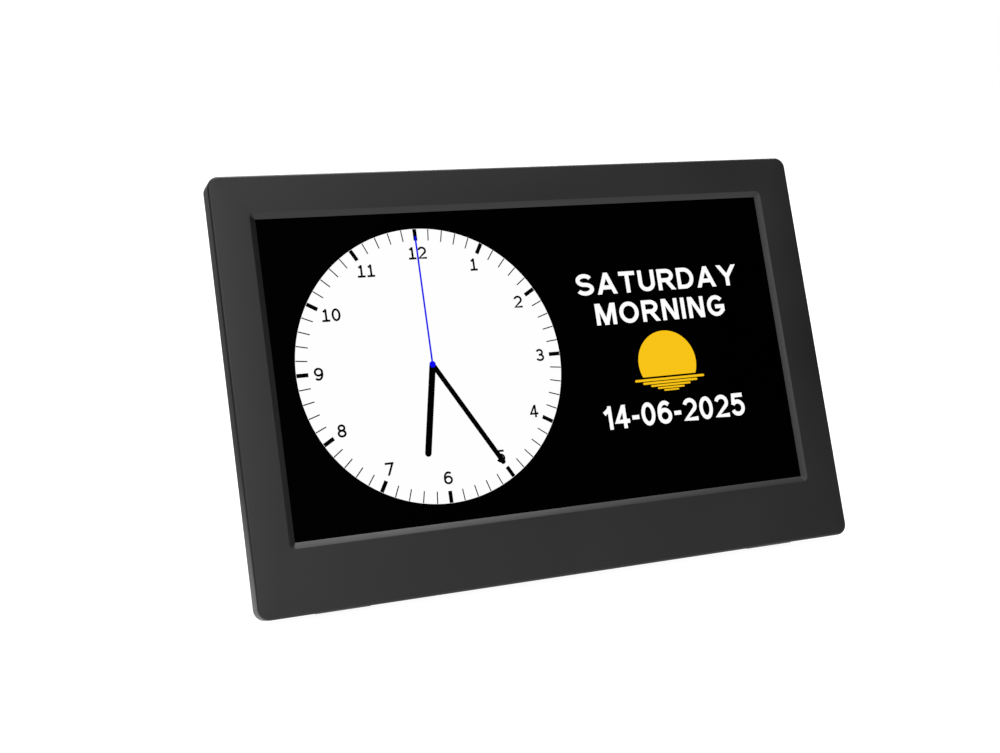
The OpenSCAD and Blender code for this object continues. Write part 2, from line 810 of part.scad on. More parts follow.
module power_parts() color("#8d9094") standing() {
    for (i = [0, 1]) translate([board_left + can_in + i * can_pitch, board_top - can_drop, 0])
        bar(can_r, board_back_d, can_t);
    on_board(board_left + coil_in, board_top - coil_drop, coil_w, coil_w, coil_t, coil_r);
    on_board(board_left + regulator_in, board_top - coil_drop, regulator_w, regulator_h, regulator_t);
}

module cell_holder() color("#26262a") standing() difference() {
    holder_w = 2 * (cell_r + cell_wall);
    on_board(cell_x, cell_y, holder_w, holder_w, cell_t + cell_floor + cell_step, cell_wall);
    translate([cell_x, cell_y, 0]) bar(cell_r + slip, board_back_d + cell_floor, cell_t + 2);
    translate([cell_x, cell_y + cell_r, 0]) layer(board_back_d + cell_floor, cell_t + 2)
        square([0.9 * cell_r, 0.8 * cell_r], center = true);
}

module coin_cell() color("#c8cacd") standing() translate([cell_x, cell_y, 0]) {
    bar(cell_r, board_back_d + cell_floor + cell_step, cell_t - cell_step);
    bar(cell_r - 2 * cell_step, board_back_d + cell_floor, cell_step + eps);
}

module power_inlet() color("#161618") standing() difference() {
    union() {
        translate([nose_x + box_wall + 0.6, inlet_y - inlet_body_w / 2, -board_back_d - inlet_body_t])
            cube([inlet_l + 2.4, inlet_body_w, inlet_body_t]);
        translate([nose_x, inlet_y, -inlet_d]) rotate([0, 90, 0]) cylinder(h = box_wall + 1.6, r = nose_r);
    }
    translate([nose_x - 1, inlet_y, -inlet_d]) rotate([0, 90, 0]) cylinder(h = inlet_l + 1, r = inlet_r);
}

module power_inlet_pin() color("#cfd1d4") standing()
    translate([nose_x + 1, inlet_y, -inlet_d]) rotate([0, 90, 0]) cylinder(h = inlet_l - 1, r = inlet_pin_r);

module usb_socket() color("#c2c4c8") standing() {
    inner_w = usb_w - 2 * socket_shell_t;
    inner_t = usb_t - 2 * socket_shell_t;
    translate([nose_x + socket_in, usb_y, -usb_d]) difference() {
        translate([0, -usb_w / 2, -usb_t / 2]) cube([usb_l, usb_w, usb_t]);
        translate([-1, -inner_w / 2, -inner_t / 2]) cube([usb_l + 0.6, inner_w, inner_t]);
        for (y = [-1, 1]) translate([usb_l * 0.4, y * usb_w / 4, -usb_t]) cylinder(h = usb_t, r = 0.9);
    }
}

module usb_tongue() color("#f0f0ee") standing() translate([nose_x + 1.4, usb_y, -usb_d]) {
    translate([0, -usb_w / 2 + 0.9, 0.3]) cube([13.1, usb_w - 1.8, 1.6]);
    translate([11, -usb_w / 2 + 0.35, -usb_t / 2 + 0.35]) cube([2.1, usb_w - 0.7, usb_t - 0.7]);
}

module card_socket() color("#b9bbbe") standing() {
    inner_w = card_w - 2 * card_side;
    inner_t = card_t - 2 * 0.3;
    translate([nose_x + socket_in, card_y, -card_d]) difference() {
        translate([0, -card_w / 2, -card_t / 2]) cube([card_l, card_w, card_t]);
        translate([-1, -inner_w / 2, -inner_t / 2]) cube([card_l - 2, inner_w, inner_t]);
    }
}

// Sockets on the front of the main board and of the key board
module board_connectors() color("#efece2") standing() {
    translate([display_x, board_bottom + plug_in, 0]) layer(board_d - plug_t, plug_t)
        square([plug_w, plug_h], center = true);
    translate([board_right - key_plug_in, key_y, 0]) layer(board_d - key_plug_t, key_plug_t)
        square([key_cable_w, key_plug_h], center = true);
    translate([board_right - lead_plug_in, lead_y, 0]) layer(board_d - key_plug_t, key_plug_t)
        square([lead_plug_w, lead_plug_h], center = true);
    translate([key_board_left + key_socket_in + key_plug_w / 2, key_y, 0])
        layer(key_cable_d - 1.1, key_board_d - key_cable_d + 1.1)
            square([key_plug_w, key_plug_h], center = true);
    translate([display_x, driver_y + driver_h - plug_in, 0]) layer(lcd_back + driver_t, driver_plug_t)
        square([plug_w, plug_h], center = true);
}

// Flat cable from the main board down to the driver board, seen from the side
module display_cable() color("#e9e7df") standing() translate([display_x - display_w / 2, 0, 0])
    rotate([90, 0, 90]) linear_extrude(display_w) {
        plug_end = plug_h / 2 - plug_in;
        top = [board_bottom - plug_end, -board_d + display_rise];
        bend_a = [board_bottom - plug_h / 2, -board_d + display_rise];
        bend_b = [driver_y + driver_h + plug_h / 2, -lcd_back - driver_t - 1];
        end = [driver_y + driver_h + plug_end, -lcd_back - driver_t - 1];
        polygon([
            top, bend_a, bend_b, end,
            end + [0, display_t], bend_b + [display_t, display_t], bend_a + [display_t, display_t],
            top + [0, display_t]
        ]);
    }

// ---- Keys ----

module at_key(i) {
    translate([key_row_end - (len(KEYS) - 1 - i) * key_pitch, key_y, 0]) children();
}

module key_board() color("#2a6b45") standing() difference() {
    layer(key_board_d, board_t) translate([key_board_left, key_y - key_board_h / 2])
        square([key_board_right - key_board_left, key_board_h]);
    for (p = KEY_POSTS) translate(p) bar(board_screw_r + 0.25, key_board_d - 1, board_t + 2);
}

module switch_bodies() color("#3c3c40") standing() for (i = [0:len(KEYS) - 1]) at_key(i) difference() {
    layer(key_board_back_d, switch_t) square([switch_w, switch_w], center = true);
    bar(plunger_r + plunger_gap, switch_top_d - plunger_in - key_travel - rest_gap, switch_t);
}

// The key top, its flange behind the wall and its stem down to the switch
module key(i) color("#1d1d1f") standing() at_key(i) {
    layer(flange_d - eps, back_depth + key_proud - flange_d + eps) slot(key_w, key_h);
    layer(flange_d - flange_t, flange_t) slot(key_w + 2 * key_flange, key_h + 2 * key_flange);
    bar(2, plunger_top_d, stem_l + eps);
}

module plunger(i) color("#101012") standing() at_key(i)
    bar(plunger_r, switch_top_d - plunger_in, plunger_top_d - switch_top_d + plunger_in);

// Ribbon between the key board and the main board
module key_cable() color("#d9d7cf") standing()
    translate([board_right - key_cable_in, key_y - key_cable_w / 2, -key_cable_d - key_cable_t / 2])
        cube([key_board_left + key_socket_in + key_cable_in - board_right, key_cable_w, key_cable_t]);

// ---- Speaker ----

module at_speaker() {
    translate([speaker_x, speaker_y, 0]) children();
}

module speaker_frame() color("#55585c") standing() difference() {
    at_speaker() {
        layer(basket_front_d, speaker_flange_t) rounded_rect(speaker_w, speaker_w, 3);
        rotate_extrude() polygon([
            [0, -basket_end_d - 0.8], [0, -basket_end_d], [magnet_r, -basket_end_d],
            [speaker_r + 1.6, -basket_front_d],
            [speaker_r + 1.6, -basket_front_d - eps], [speaker_r + 0.8, -basket_front_d - eps],
            [magnet_r - 0.5, -basket_end_d - 0.8]
        ]);
        translate([-speaker_w / 2 + 0.4, 1, 0]) layer(basket_front_d - 1, 1 + eps) square([1.4, 6]);
    }
    at_speaker() bar(speaker_r - 0.4, basket_front_d - eps, speaker_flange_t + 1);
    for (p = SPEAKER_POSTS) translate(p) bar(board_screw_r + 0.25, basket_front_d - 1, speaker_flange_t + 2);
}

module speaker_magnet() color("#8b8d90") standing() at_speaker() {
    bar(magnet_r, basket_end_d - magnet_t, magnet_t);
    bar(magnet_r - 2.5, basket_end_d - magnet_t - 0.8, 0.8 + eps);
}

module speaker_cone() color("#2b2b2d") standing() at_speaker() rotate_extrude() polygon([
    [0, -basket_end_d - 2.2], [4, -basket_end_d - 1.8], [5, -basket_end_d - 1.6],
    [speaker_r - 2.4, -flange_back_d + 0.2], [speaker_r - 1, -flange_back_d], [speaker_r + 2.5, -flange_back_d],
    [speaker_r + 2.5, -flange_back_d - surround_t], [speaker_r - 2.5, -flange_back_d - surround_t],
    [5, -basket_end_d - 2], [4, -basket_end_d - 2.2], [0, -basket_end_d - 2.6]
]);

module speaker_gasket() color("#4a4a4c") standing() at_speaker() layer(wall_d - gasket_t, gasket_t)
    difference() {
        circle(speaker_r + 2.5);
        circle(speaker_r - 0.5);
    }

// Two leads from the speaker's tag, along the back of the bay, to the main board
module speaker_lead() color("#a8322c") standing() for (s = [-1, 1]) {
    y = lead_y + s * lead_gap;
    tag_x = speaker_x - speaker_w / 2 + 1.1;
    run_d = bay_floor_d - bay_wall - lead_r - 0.1;
    lead([
        [board_right - 0.5 + lead_r, y, -board_d + 1.4], [board_right + 2.5, y, -board_d + 1.4],
        [-bay_w / 2 - 2, y, -run_d], [bay_w / 2 + 4, y, -run_d], [tag_x, y, -run_d - 1.5],
        [tag_x, y, -basket_front_d + 1 + lead_r]
    ], lead_r);
}

// ---- Fasteners and small pieces ----

module case_screws() color("#3b3b3e") standing() for (p = CASE_SCREWS) translate(p) {
    head_d = frame_depth - case_head_h;
    screw_in(case_screw_r, head_d - face_t - 0.9, case_head_r, case_head_h, head_d);
}

module board_screws() color("#9da0a4") standing() {
    for (p = BOARD_POSTS) translate(p)
        screw_from_front(board_screw_r, board_screw_l + board_t - 0.6, 2.1, 1.2, board_d);
    for (p = KEY_POSTS) translate(p)
        screw_from_front(board_screw_r, board_screw_l + board_t - 0.6, 2.1, 1.2, key_board_d);
}

module speaker_screws() color("#9da0a4") standing() for (p = SPEAKER_POSTS) translate(p)
    screw_from_front(board_screw_r, speaker_flange_t + box_wall - 0.3, 2.1, 1.2, basket_front_d);

// Height on the back of the frame at which the surface lies, at depth d
function surface_y(d) = (d * sin(lean) - stand_z) / cos(lean);

module front_feet() color("#202022") standing() for (s = [-1, 1])
    translate([s * foot_span / 2 - foot_w / 2, 0, 0]) rotate([90, 0, 90]) linear_extrude(foot_w) {
        back_d = frame_depth + foot_d;
        top_y = edge_y + foot_h;
        polygon([
            [top_y, -frame_depth], [top_y, -frame_depth - foot_d * 0.35], [surface_y(back_d) + 1.5, -back_d],
            [surface_y(back_d), -back_d], [surface_y(frame_depth), -frame_depth]
        ]);
    }

module hinge_pin() color("#b8babd") standing() at_hinge() rotate([0, 90, 0])
    cylinder(h = bay_w + 2 * (bay_wall + ear_l) - 1, r = pin_r, center = true);

module rating_label() color("#d6d6d2") standing() translate([0, label_y, 0])
    layer(back_depth - label_t, label_t) square([label_w - 0.4, label_h - 0.4], center = true);

// ---- Leg ----

// The leg's outline, from the hinge down to the end at l
module leg_outline(l) {
    polygon([
        [-blade_w / 2, -1], [blade_w / 2, -1], [blade_w / 2, -leg_shoulder],
        [leg_end_w / 2, -boot_start], [leg_end_w / 2, -l], [-leg_end_w / 2, -l],
        [-leg_end_w / 2, -boot_start], [-blade_w / 2, -leg_shoulder]
    ]);
}

module leg_blade() {
    difference() {
        translate([0, 0, -leg_t / 2]) linear_extrude(leg_t) leg_outline(boot_start);
        translate([0, 0, -leg_t / 2 + leg_skin]) linear_extrude(leg_t) polygon([
            [-blade_w / 2 + leg_rib, -leg_shoulder + 2], [blade_w / 2 - leg_rib, -leg_shoulder + 2],
            [leg_end_w / 2 - leg_rib, -boot_start + leg_rib],
            [-leg_end_w / 2 + leg_rib, -boot_start + leg_rib]
        ]);
    }
    for (x = [-1, 0, 1]) translate([x * leg_end_w / 4 - 0.8, -boot_start + 1, -leg_t / 2 + 0.5])
        cube([1.6, boot_start - leg_shoulder + 2, leg_t - 0.5]);
    translate([-leg_end_w / 2 + boot_wall, -tongue_end, -leg_t / 2 + boot_wall])
        cube([leg_end_w - 2 * boot_wall, boot_l + 1, leg_t - 2 * boot_wall]);
}

module stand_leg() color("#2b2b2d") standing() at_hinge() difference() {
    union() {
        rotate([open_angle, 0, 0]) leg_blade();
        rotate([0, 90, 0]) cylinder(h = leg_w, r = barrel_r, center = true);
        translate([-leg_w / 3, 0, barrel_r - heel_step - heel_t]) cube([leg_w * 2 / 3, heel_l, heel_t]);
    }
    rotate([0, 90, 0]) cylinder(h = leg_w + 2, r = pin_r + pin_gap, center = true);
}

// Rubber boot: its sole is cut flat on the surface that the clock stands on
module stand_boot() color("#1c1c1e") standing() at_hinge() rotate([open_angle, 0, 0]) difference() {
    half = leg_t / 2;
    rise = half * tan(leg_slope);
    rotate([90, 0, 90]) linear_extrude(leg_end_w, center = true) polygon([
        [-boot_start, half], [-boot_start, -half], [-sole_mid - rise, -half], [-sole_mid + rise, half]
    ]);
    translate([-leg_end_w / 2 + boot_wall, -tongue_end, -half + boot_wall])
        cube([leg_end_w - 2 * boot_wall, boot_l + 1, leg_t - 2 * boot_wall]);
}

front_frame();
rear_cover();
lcd_front_frame();
lcd_glass();
lcd_mould_frame();
prism_film();
diffuser_film();
light_guide();
reflector_film();
led_strip();
lcd_rear_tray();
lcd_driver_board();
lcd_flex();
foam_strips();
main_board();
processor();
memory_chips();
power_parts();
cell_holder();
coin_cell();
power_inlet();
power_inlet_pin();
usb_socket();
usb_tongue();
card_socket();
board_connectors();
display_cable();
key_board();
switch_bodies();
key_cable();
speaker_frame();
speaker_magnet();
speaker_cone();
speaker_gasket();
speaker_lead();
case_screws();
board_screws();
speaker_screws();
front_feet();
hinge_pin();
rating_label();
stand_leg();
stand_boot();
for (i = [0:len(KEYS) - 1]) {
    key(i);
    plunger(i);
}
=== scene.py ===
# %% [markdown]
# # A day clock, dressed for its portrait
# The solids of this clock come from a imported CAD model: a slim moulded front frame, a rear cover with a
# shallow box, a fold-out leg, seven keys, and the electronics inside. This file keeps those solids where
# they are, gives each of them the finish of its real material, and adds the pieces that need finer forms
# than a solid has: the front frame's soft edges, the key tops, the label, and the screen's picture.
# Everything is in metres, with the clock standing on the plane z = 0 and its screen facing -y.

# %% Load the solids
import bpy
import math
import numpy as np
from mathutils import Matrix, Vector


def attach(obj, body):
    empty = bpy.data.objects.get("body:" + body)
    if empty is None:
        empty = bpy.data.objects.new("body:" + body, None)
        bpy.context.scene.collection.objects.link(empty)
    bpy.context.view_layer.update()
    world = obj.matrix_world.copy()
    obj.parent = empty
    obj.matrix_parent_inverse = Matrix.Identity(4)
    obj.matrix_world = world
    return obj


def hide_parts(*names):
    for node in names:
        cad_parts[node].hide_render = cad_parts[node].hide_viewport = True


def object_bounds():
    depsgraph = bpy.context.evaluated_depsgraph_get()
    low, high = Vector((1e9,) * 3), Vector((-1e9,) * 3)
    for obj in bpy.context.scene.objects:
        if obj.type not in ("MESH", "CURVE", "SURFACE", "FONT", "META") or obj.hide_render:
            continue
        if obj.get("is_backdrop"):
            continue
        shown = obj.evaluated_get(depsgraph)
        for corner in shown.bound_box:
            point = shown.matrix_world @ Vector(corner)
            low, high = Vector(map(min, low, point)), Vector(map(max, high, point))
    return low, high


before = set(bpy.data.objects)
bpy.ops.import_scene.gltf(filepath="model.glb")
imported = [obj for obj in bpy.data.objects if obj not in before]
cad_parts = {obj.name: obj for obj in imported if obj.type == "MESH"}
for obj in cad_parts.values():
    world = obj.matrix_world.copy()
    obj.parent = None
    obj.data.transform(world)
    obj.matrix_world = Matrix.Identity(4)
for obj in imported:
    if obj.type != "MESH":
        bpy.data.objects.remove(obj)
cad_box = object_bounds()

# %% [markdown]
# ## The leaning plane
# The clock leans back by 21.6 degrees, so its own width and height aren't the room's axes. Its pieces are
# described as on a drawing of the front: x to the right, y up the frame, and d for the depth behind the
# front face, all in millimetres from the middle of the frame. One formula places them in the room.

# %% From the clock's drawing to the room
LEAN = math.radians(21.6)
STAND_Y, STAND_Z = -9.9329, 82.4098


def to_room(points):
    """x stays. y' = y sin(lean) + d cos(lean) + stand_y, z' = y cos(lean) - d sin(lean) + stand_z, in mm,
    and the whole is divided by 1000 to give metres."""
    x, y, d = np.moveaxis(np.asarray(points, float), -1, 0)
    across = y * math.sin(LEAN) + d * math.cos(LEAN) + STAND_Y
    up = y * math.cos(LEAN) - d * math.sin(LEAN) + STAND_Z
    return np.stack([x, across, up], -1) / 1000


print("middle of the front face", to_room([0, 0, 0]).round(4))

# %% [markdown]
# ## The camera
# The photograph's camera was found from the straight edges of the frame and of the window: it stands 22.5
# degrees to the clock's left and 12.9 degrees above it, with a lens of 51.5 mm on a 36 mm sensor. It is
# made first, because every later choice is judged through it.

# %% Camera
camera_place = (-0.235384, -0.527481, 0.208186)
camera_right = np.array([0.92390, -0.38262, 0.0])
camera_up = np.array([0.08542, 0.20595, 0.97483])
camera_ahead = np.array([0.37297, 0.90066, -0.22297])
camera_data = bpy.data.cameras.new("portrait_camera")
camera_data.lens = 51.48
camera_data.sensor_width = 36.0
camera_data.clip_start = 0.01
camera = bpy.data.objects.new("portrait_camera", camera_data)
bpy.context.scene.collection.objects.link(camera)
turn = np.eye(4)
turn[:3, 0], turn[:3, 1], turn[:3, 2] = camera_right, camera_up, -camera_ahead
turn[:3, 3] = camera_place
camera.matrix_world = Matrix(turn.tolist())
bpy.context.scene.camera = camera
bpy.context.scene.view_settings.view_transform = "Standard"
print("camera stands", round(float(np.linalg.norm(turn[:3, 3])), 3), "m from the origin")

# %% [markdown]
# ## Two small tools for finishes
# Colours are written as people read them, in sRGB hex, and turned to the linear values that light adds up
# in. One function adds a node to a material, sets its values and makes its links. With these two, each
# finish below is only a few lines long.

# %% Colour and node tools


def linear(hex_colour):
    """Each channel c in 0..1 becomes c / 12.92 below 0.04045, and ((c + 0.055) / 1.055) ** 2.4 above it."""
    c = np.array([int(hex_colour[i:i + 2], 16) for i in (1, 3, 5)]) / 255
    c = np.where(c <= 0.04045, c / 12.92, ((c + 0.055) / 1.055) ** 2.4)
    return (*c.tolist(), 1.0)


def add_node(tree, kind, settings=(), links=()):
    """A node of this kind. A setting goes on the socket of that name or number, or else on the node."""
    node = tree.nodes.new(kind)
    for key, value in dict(settings).items():
        if isinstance(key, int) or key in node.inputs:
            node.inputs[key].default_value = value
        else:
            setattr(node, key, value)
    for key, source in dict(links).items():
        tree.links.new(source, node.inputs[key])
    return node


print("mid grey is", round(linear("#808080")[0], 3))

# %% [markdown]
# ## What every finish shares
# A real surface is never one flat value. Even a plain moulding has a grain from its tool, which spreads
# the gloss, and small drifts in shade. Each finish therefore starts from a shader with what is the same
# all over, and then lays one or two patterns of a real size on it: a fine grain that moves roughness and
# normal, and a slow drift of shade. The patterns read Object coordinates, which are metres here, so a
# pattern of size s mm has a scale of 1000 / s.

# %% Start of a finish, and its grain


def new_finish(name, colour, roughness, **more):
    """The shader alone, with its colour, roughness and further values on its own sockets."""
    material = bpy.data.materials.new(name)
    material.use_nodes = True
    material.diffuse_color = linear(colour)
    tree = material.node_tree
    tree.nodes.clear()
    settings = {"Base Color": linear(colour), "Roughness": roughness, **more}
    shader = add_node(tree, "ShaderNodeBsdfPrincipled", settings)
    add_node(tree, "ShaderNodeOutputMaterial", links={"Surface": shader.outputs["BSDF"]})
    return material


def shader_of(material):
    """The one shader that new_finish gave to a material."""
    return next(n for n in material.node_tree.nodes if n.type == "BSDF_PRINCIPLED")


def lay_grain(material, grain_mm, height_mm, shades, shine, stretch=(1, 1, 1), cells=False):
    """A pattern p in 0..1 with features of grain_mm. Colour runs between the two shades, roughness
    between the two values of shine, and the surface rises by p times height_mm."""
    tree = material.node_tree
    shader = shader_of(material)
    place = add_node(tree, "ShaderNodeTexCoord").outputs["Object"]
    mapped = add_node(tree, "ShaderNodeMapping", {"Scale": stretch}, {"Vector": place}).outputs[0]
    if cells:
        pattern = add_node(tree, "ShaderNodeTexVoronoi", {"Scale": 1000 / grain_mm}, {"Vector": mapped})
        value = pattern.outputs["Distance"]
    else:
        detail = {"Scale": 1000 / grain_mm, "Detail": 3.0, "Roughness": 0.6}
        value = add_node(tree, "ShaderNodeTexNoise", detail, {"Vector": mapped}).outputs["Fac"]
    drift = add_node(tree, "ShaderNodeTexNoise", {"Scale": 18.0, "Detail": 2.0}, {"Vector": place})
    both = add_node(tree, "ShaderNodeMath", {"operation": "MULTIPLY_ADD", 1: 0.6}, {0: value})
    tree.links.new(drift.outputs["Fac"], both.inputs[2])
    spread = add_node(tree, "ShaderNodeMapRange", {"From Min": 0.55, "From Max": 1.05},
                      {"Value": both.outputs[0]})
    ramp = add_node(tree, "ShaderNodeValToRGB", links={"Fac": spread.outputs[0]})
    ramp.color_ramp.elements[0].color = linear(shades[0])
    ramp.color_ramp.elements[1].color = linear(shades[1])
    tree.links.new(ramp.outputs["Color"], shader.inputs["Base Color"])
    gloss = add_node(tree, "ShaderNodeMapRange", {"To Min": shine[0], "To Max": shine[1]},
                     {"Value": spread.outputs[0]})
    tree.links.new(gloss.outputs[0], shader.inputs["Roughness"])
    relief = add_node(tree, "ShaderNodeBump", {"Strength": 1.0, "Distance": height_mm / 1000},
                      {"Height": value})
    tree.links.new(relief.outputs["Normal"], shader.inputs["Normal"])


print("finishes start with", len(bpy.data.materials), "materials of the packed model")

# %% [markdown]
# ## Moulded plastics
# The frame, cover, leg and keys are ABS, moulded in tools whose faces were roughened by spark erosion.
# That leaves a fine even grain which breaks up reflections, so black ABS looks charcoal. The real grain
# is about 0.1 mm, finer than a pixel, so it is drawn at 0.35 mm. The back's grain is a little coarser,
# as it often is where no one looks, and the keys are polished smoother because fingers rub them.

# %% ABS mouldings
frame_abs = new_finish("abs_frame_spark_eroded", "#1c1c1e", 0.42, **{"Specular IOR Level": 0.5})
lay_grain(frame_abs, 0.35, 0.003, ("#19191b", "#1f1f21"), (0.38, 0.46))
cover_abs = new_finish("abs_cover_spark_eroded", "#1d1d1f", 0.55, **{"Specular IOR Level": 0.42})
lay_grain(cover_abs, 0.6, 0.012, ("#19191b", "#222224"), (0.48, 0.62))
leg_abs = new_finish("abs_leg_spark_eroded", "#1a1a1c", 0.5, **{"Specular IOR Level": 0.42})
lay_grain(leg_abs, 0.6, 0.01, ("#161618", "#1f1f21"), (0.44, 0.58))
key_abs = new_finish("abs_keys_satin", "#161618", 0.32, **{"IOR": 1.5})
lay_grain(key_abs, 0.8, 0.002, ("#131315", "#1a1a1c"), (0.28, 0.38))
white_abs = new_finish("polycarbonate_white_moulded", "#e4e4e0", 0.5, **{"IOR": 1.58})
lay_grain(white_abs, 0.8, 0.003, ("#dcdcd8", "#ebebe7"), (0.45, 0.58))
dark_nylon = new_finish("nylon_black_moulded", "#1a1a1b", 0.5, **{"IOR": 1.53})
lay_grain(dark_nylon, 0.5, 0.005, ("#161617", "#202021"), (0.42, 0.6))
epoxy = new_finish("epoxy_chip_moulded", "#1c1c1e", 0.6, **{"IOR": 1.55})
lay_grain(epoxy, 0.25, 0.004, ("#18181a", "#242426"), (0.55, 0.72))
print("plastics", [m.name for m in (frame_abs, cover_abs, leg_abs, key_abs)])

# %% [markdown]
# ## Rubber, foam, film and paper
# The feet and the boot are a soft thermoplastic rubber, dull and slightly dusty. The foam strips have
# open cells of about 0.6 mm. The films behind the screen are sheets of polyester, some of them milky, and
# the speaker's cone is pressed paper whose fibres catch the light.

# %% Soft and thin materials
rubber = new_finish("rubber_feet_moulded", "#1b1b1c", 0.85, **{"IOR": 1.52, "Specular IOR Level": 0.3})
lay_grain(rubber, 0.5, 0.02, ("#171718", "#232324"), (0.78, 0.92))
foam = new_finish("polyurethane_foam_open_cell", "#303032", 0.95, **{"Specular IOR Level": 0.2})
lay_grain(foam, 0.6, 0.15, ("#141415", "#3c3c3e"), (0.9, 1.0), cells=True)
milky_film = new_finish("polyester_film_milky", "#e8ecee", 0.35, **{"IOR": 1.57, "Coat Weight": 0.3})
lay_grain(milky_film, 1.5, 0.002, ("#e0e5e8", "#f0f3f4"), (0.3, 0.42))
acrylic = new_finish("acrylic_light_guide_dotted", "#eef3f4", 0.12,
                     **{"IOR": 1.49, "Transmission Weight": 0.6})
lay_grain(acrylic, 0.9, 0.004, ("#e6edef", "#f6fafa"), (0.08, 0.2), cells=True)
cable_film = new_finish("polyester_cable_film_white", "#d9dad6", 0.4, **{"IOR": 1.57})
lay_grain(cable_film, 1.0, 0.06, ("#b9bab6", "#e6e7e3"), (0.35, 0.5), stretch=(0.02, 1, 1))
copper_film = new_finish("polyimide_film_copper", "#b0702a", 0.35, **{"IOR": 1.7})
lay_grain(copper_film, 0.5, 0.01, ("#99601f", "#c98a3c"), (0.3, 0.45), stretch=(1, 0.05, 1))
cone_paper = new_finish("paper_cone_pressed", "#29292a", 0.9, **{"Specular IOR Level": 0.3})
lay_grain(cone_paper, 0.7, 0.03, ("#1f1f20", "#353536"), (0.82, 0.96), stretch=(1, 0.3, 1))
wire_vinyl = new_finish("vinyl_wire_cover_red", "#8e1f1c", 0.45, **{"IOR": 1.54})
lay_grain(wire_vinyl, 0.8, 0.004, ("#84190f", "#9c2a26"), (0.4, 0.52))
label_film = new_finish("polyester_label_matte_silver", "#b9bbbc", 0.42, **{"Metallic": 0.6})
lay_grain(label_film, 0.4, 0.004, ("#afb1b2", "#c6c8c9"), (0.36, 0.5))
print("soft and thin materials", len(bpy.data.materials))

# %% [markdown]
# ## Metals
# Rolled steel sheet shows fine lines along its rolling, so its pattern is stretched along x. The socket
# shells are bright tin plate, the pin nickel, the screws blackened steel. A metal keeps the default IOR,
# and its colour comes from the base colour alone.

# %% Metals
metal = {"Metallic": 1.0}
black_steel = new_finish("steel_sheet_black_coated", "#1d1d1f", 0.5, **{"IOR": 1.5})
lay_grain(black_steel, 0.3, 0.003, ("#19191b", "#232325"), (0.42, 0.56))
rolled_steel = new_finish("steel_sheet_rolled_bright", "#a9abad", 0.3, **metal)
lay_grain(rolled_steel, 0.25, 0.002, ("#9b9d9f", "#b8babc"), (0.24, 0.38), stretch=(0.03, 1, 1))
tin_plate = new_finish("steel_tin_plated", "#c4c5c4", 0.24, **metal)
lay_grain(tin_plate, 0.5, 0.003, ("#b6b7b6", "#d0d1d0"), (0.18, 0.32), stretch=(1, 0.1, 1))
nickel = new_finish("brass_nickel_plated_turned", "#c9c4b8", 0.2, **metal)
lay_grain(nickel, 0.2, 0.002, ("#bdb8ac", "#d4cfc3"), (0.15, 0.28), stretch=(1, 0.1, 0.1))
can_aluminium = new_finish("aluminium_can_drawn", "#c2c4c6", 0.3, **metal)
lay_grain(can_aluminium, 0.4, 0.002, ("#b4b6b8", "#ced0d2"), (0.24, 0.36), stretch=(1, 1, 0.1))
screw_steel = new_finish("steel_screw_blackened", "#2b2b2c", 0.38, **metal)
lay_grain(screw_steel, 0.3, 0.003, ("#222223", "#363637"), (0.32, 0.48))
ferrite = new_finish("ferrite_magnet_sintered", "#3a3a3c", 0.55, **{"Metallic": 0.3})
lay_grain(ferrite, 0.35, 0.01, ("#2f2f31", "#464648"), (0.48, 0.66))
print("metals", [m.name for m in (rolled_steel, tin_plate, nickel, screw_steel)])

# %% [markdown]
# ## Circuit boards
# A board is glass cloth in resin under a thin green lacquer. Copper tracks below the lacquer show as
# lighter lines that run straight and turn at corners. A brick pattern with wide bricks and thin mortar
# gives such lines, and the cloth adds a faint weave of about 0.5 mm. The pattern is turned upright by the
# clock's lean, so that it lies in the plane of the board.

# %% Circuit board
circuit_board = new_finish("glass_epoxy_board_green", "#14502c", 0.3, **{"IOR": 1.52, "Coat Weight": 0.4})
lay_grain(circuit_board, 0.5, 0.004, ("#10482a", "#185a34"), (0.26, 0.38))
board_tree = circuit_board.node_tree
board_place = next(n for n in board_tree.nodes if n.type == "TEX_COORD").outputs["Object"]
UPRIGHT = {"Rotation": (math.pi / 2 - LEAN, 0.0, 0.0)}
flat_place = add_node(board_tree, "ShaderNodeMapping", UPRIGHT, {"Vector": board_place}).outputs[0]
tracks = {"Scale": 170.0, "Mortar Size": 0.035, "Brick Width": 0.9, "Row Height": 0.22,
          "Color1": linear("#14502c"), "Color2": linear("#185834"), "Mortar": linear("#2f7d48")}
track_pattern = add_node(board_tree, "ShaderNodeTexBrick", tracks, {"Vector": flat_place})
board_tree.links.new(track_pattern.outputs["Color"], shader_of(circuit_board).inputs["Base Color"])
print("board nodes", len(board_tree.nodes))

# %% [markdown]
# ## The screen
# The front of the screen is a polariser film with an anti-reflection coat, so it stays near black in a
# bright room. Its coat is described by a low IOR, and a very fine haze spreads what little it reflects.
# What the panel shows is light, not paint: the picture's materials emit their own colour at strength 1,
# where white is white. A panel's pixels are 0.22 mm apart, and the dark seams between them are drawn as a
# faint brick pattern of that size.

# %% Screen film and lit pixels
screen_film = new_finish("polariser_film_antireflection", "#000000", 0.2, **{"IOR": 1.05})
lay_grain(screen_film, 0.3, 0.0003, ("#000000", "#010101"), (0.18, 0.26))
PIXEL_MM = 0.2175


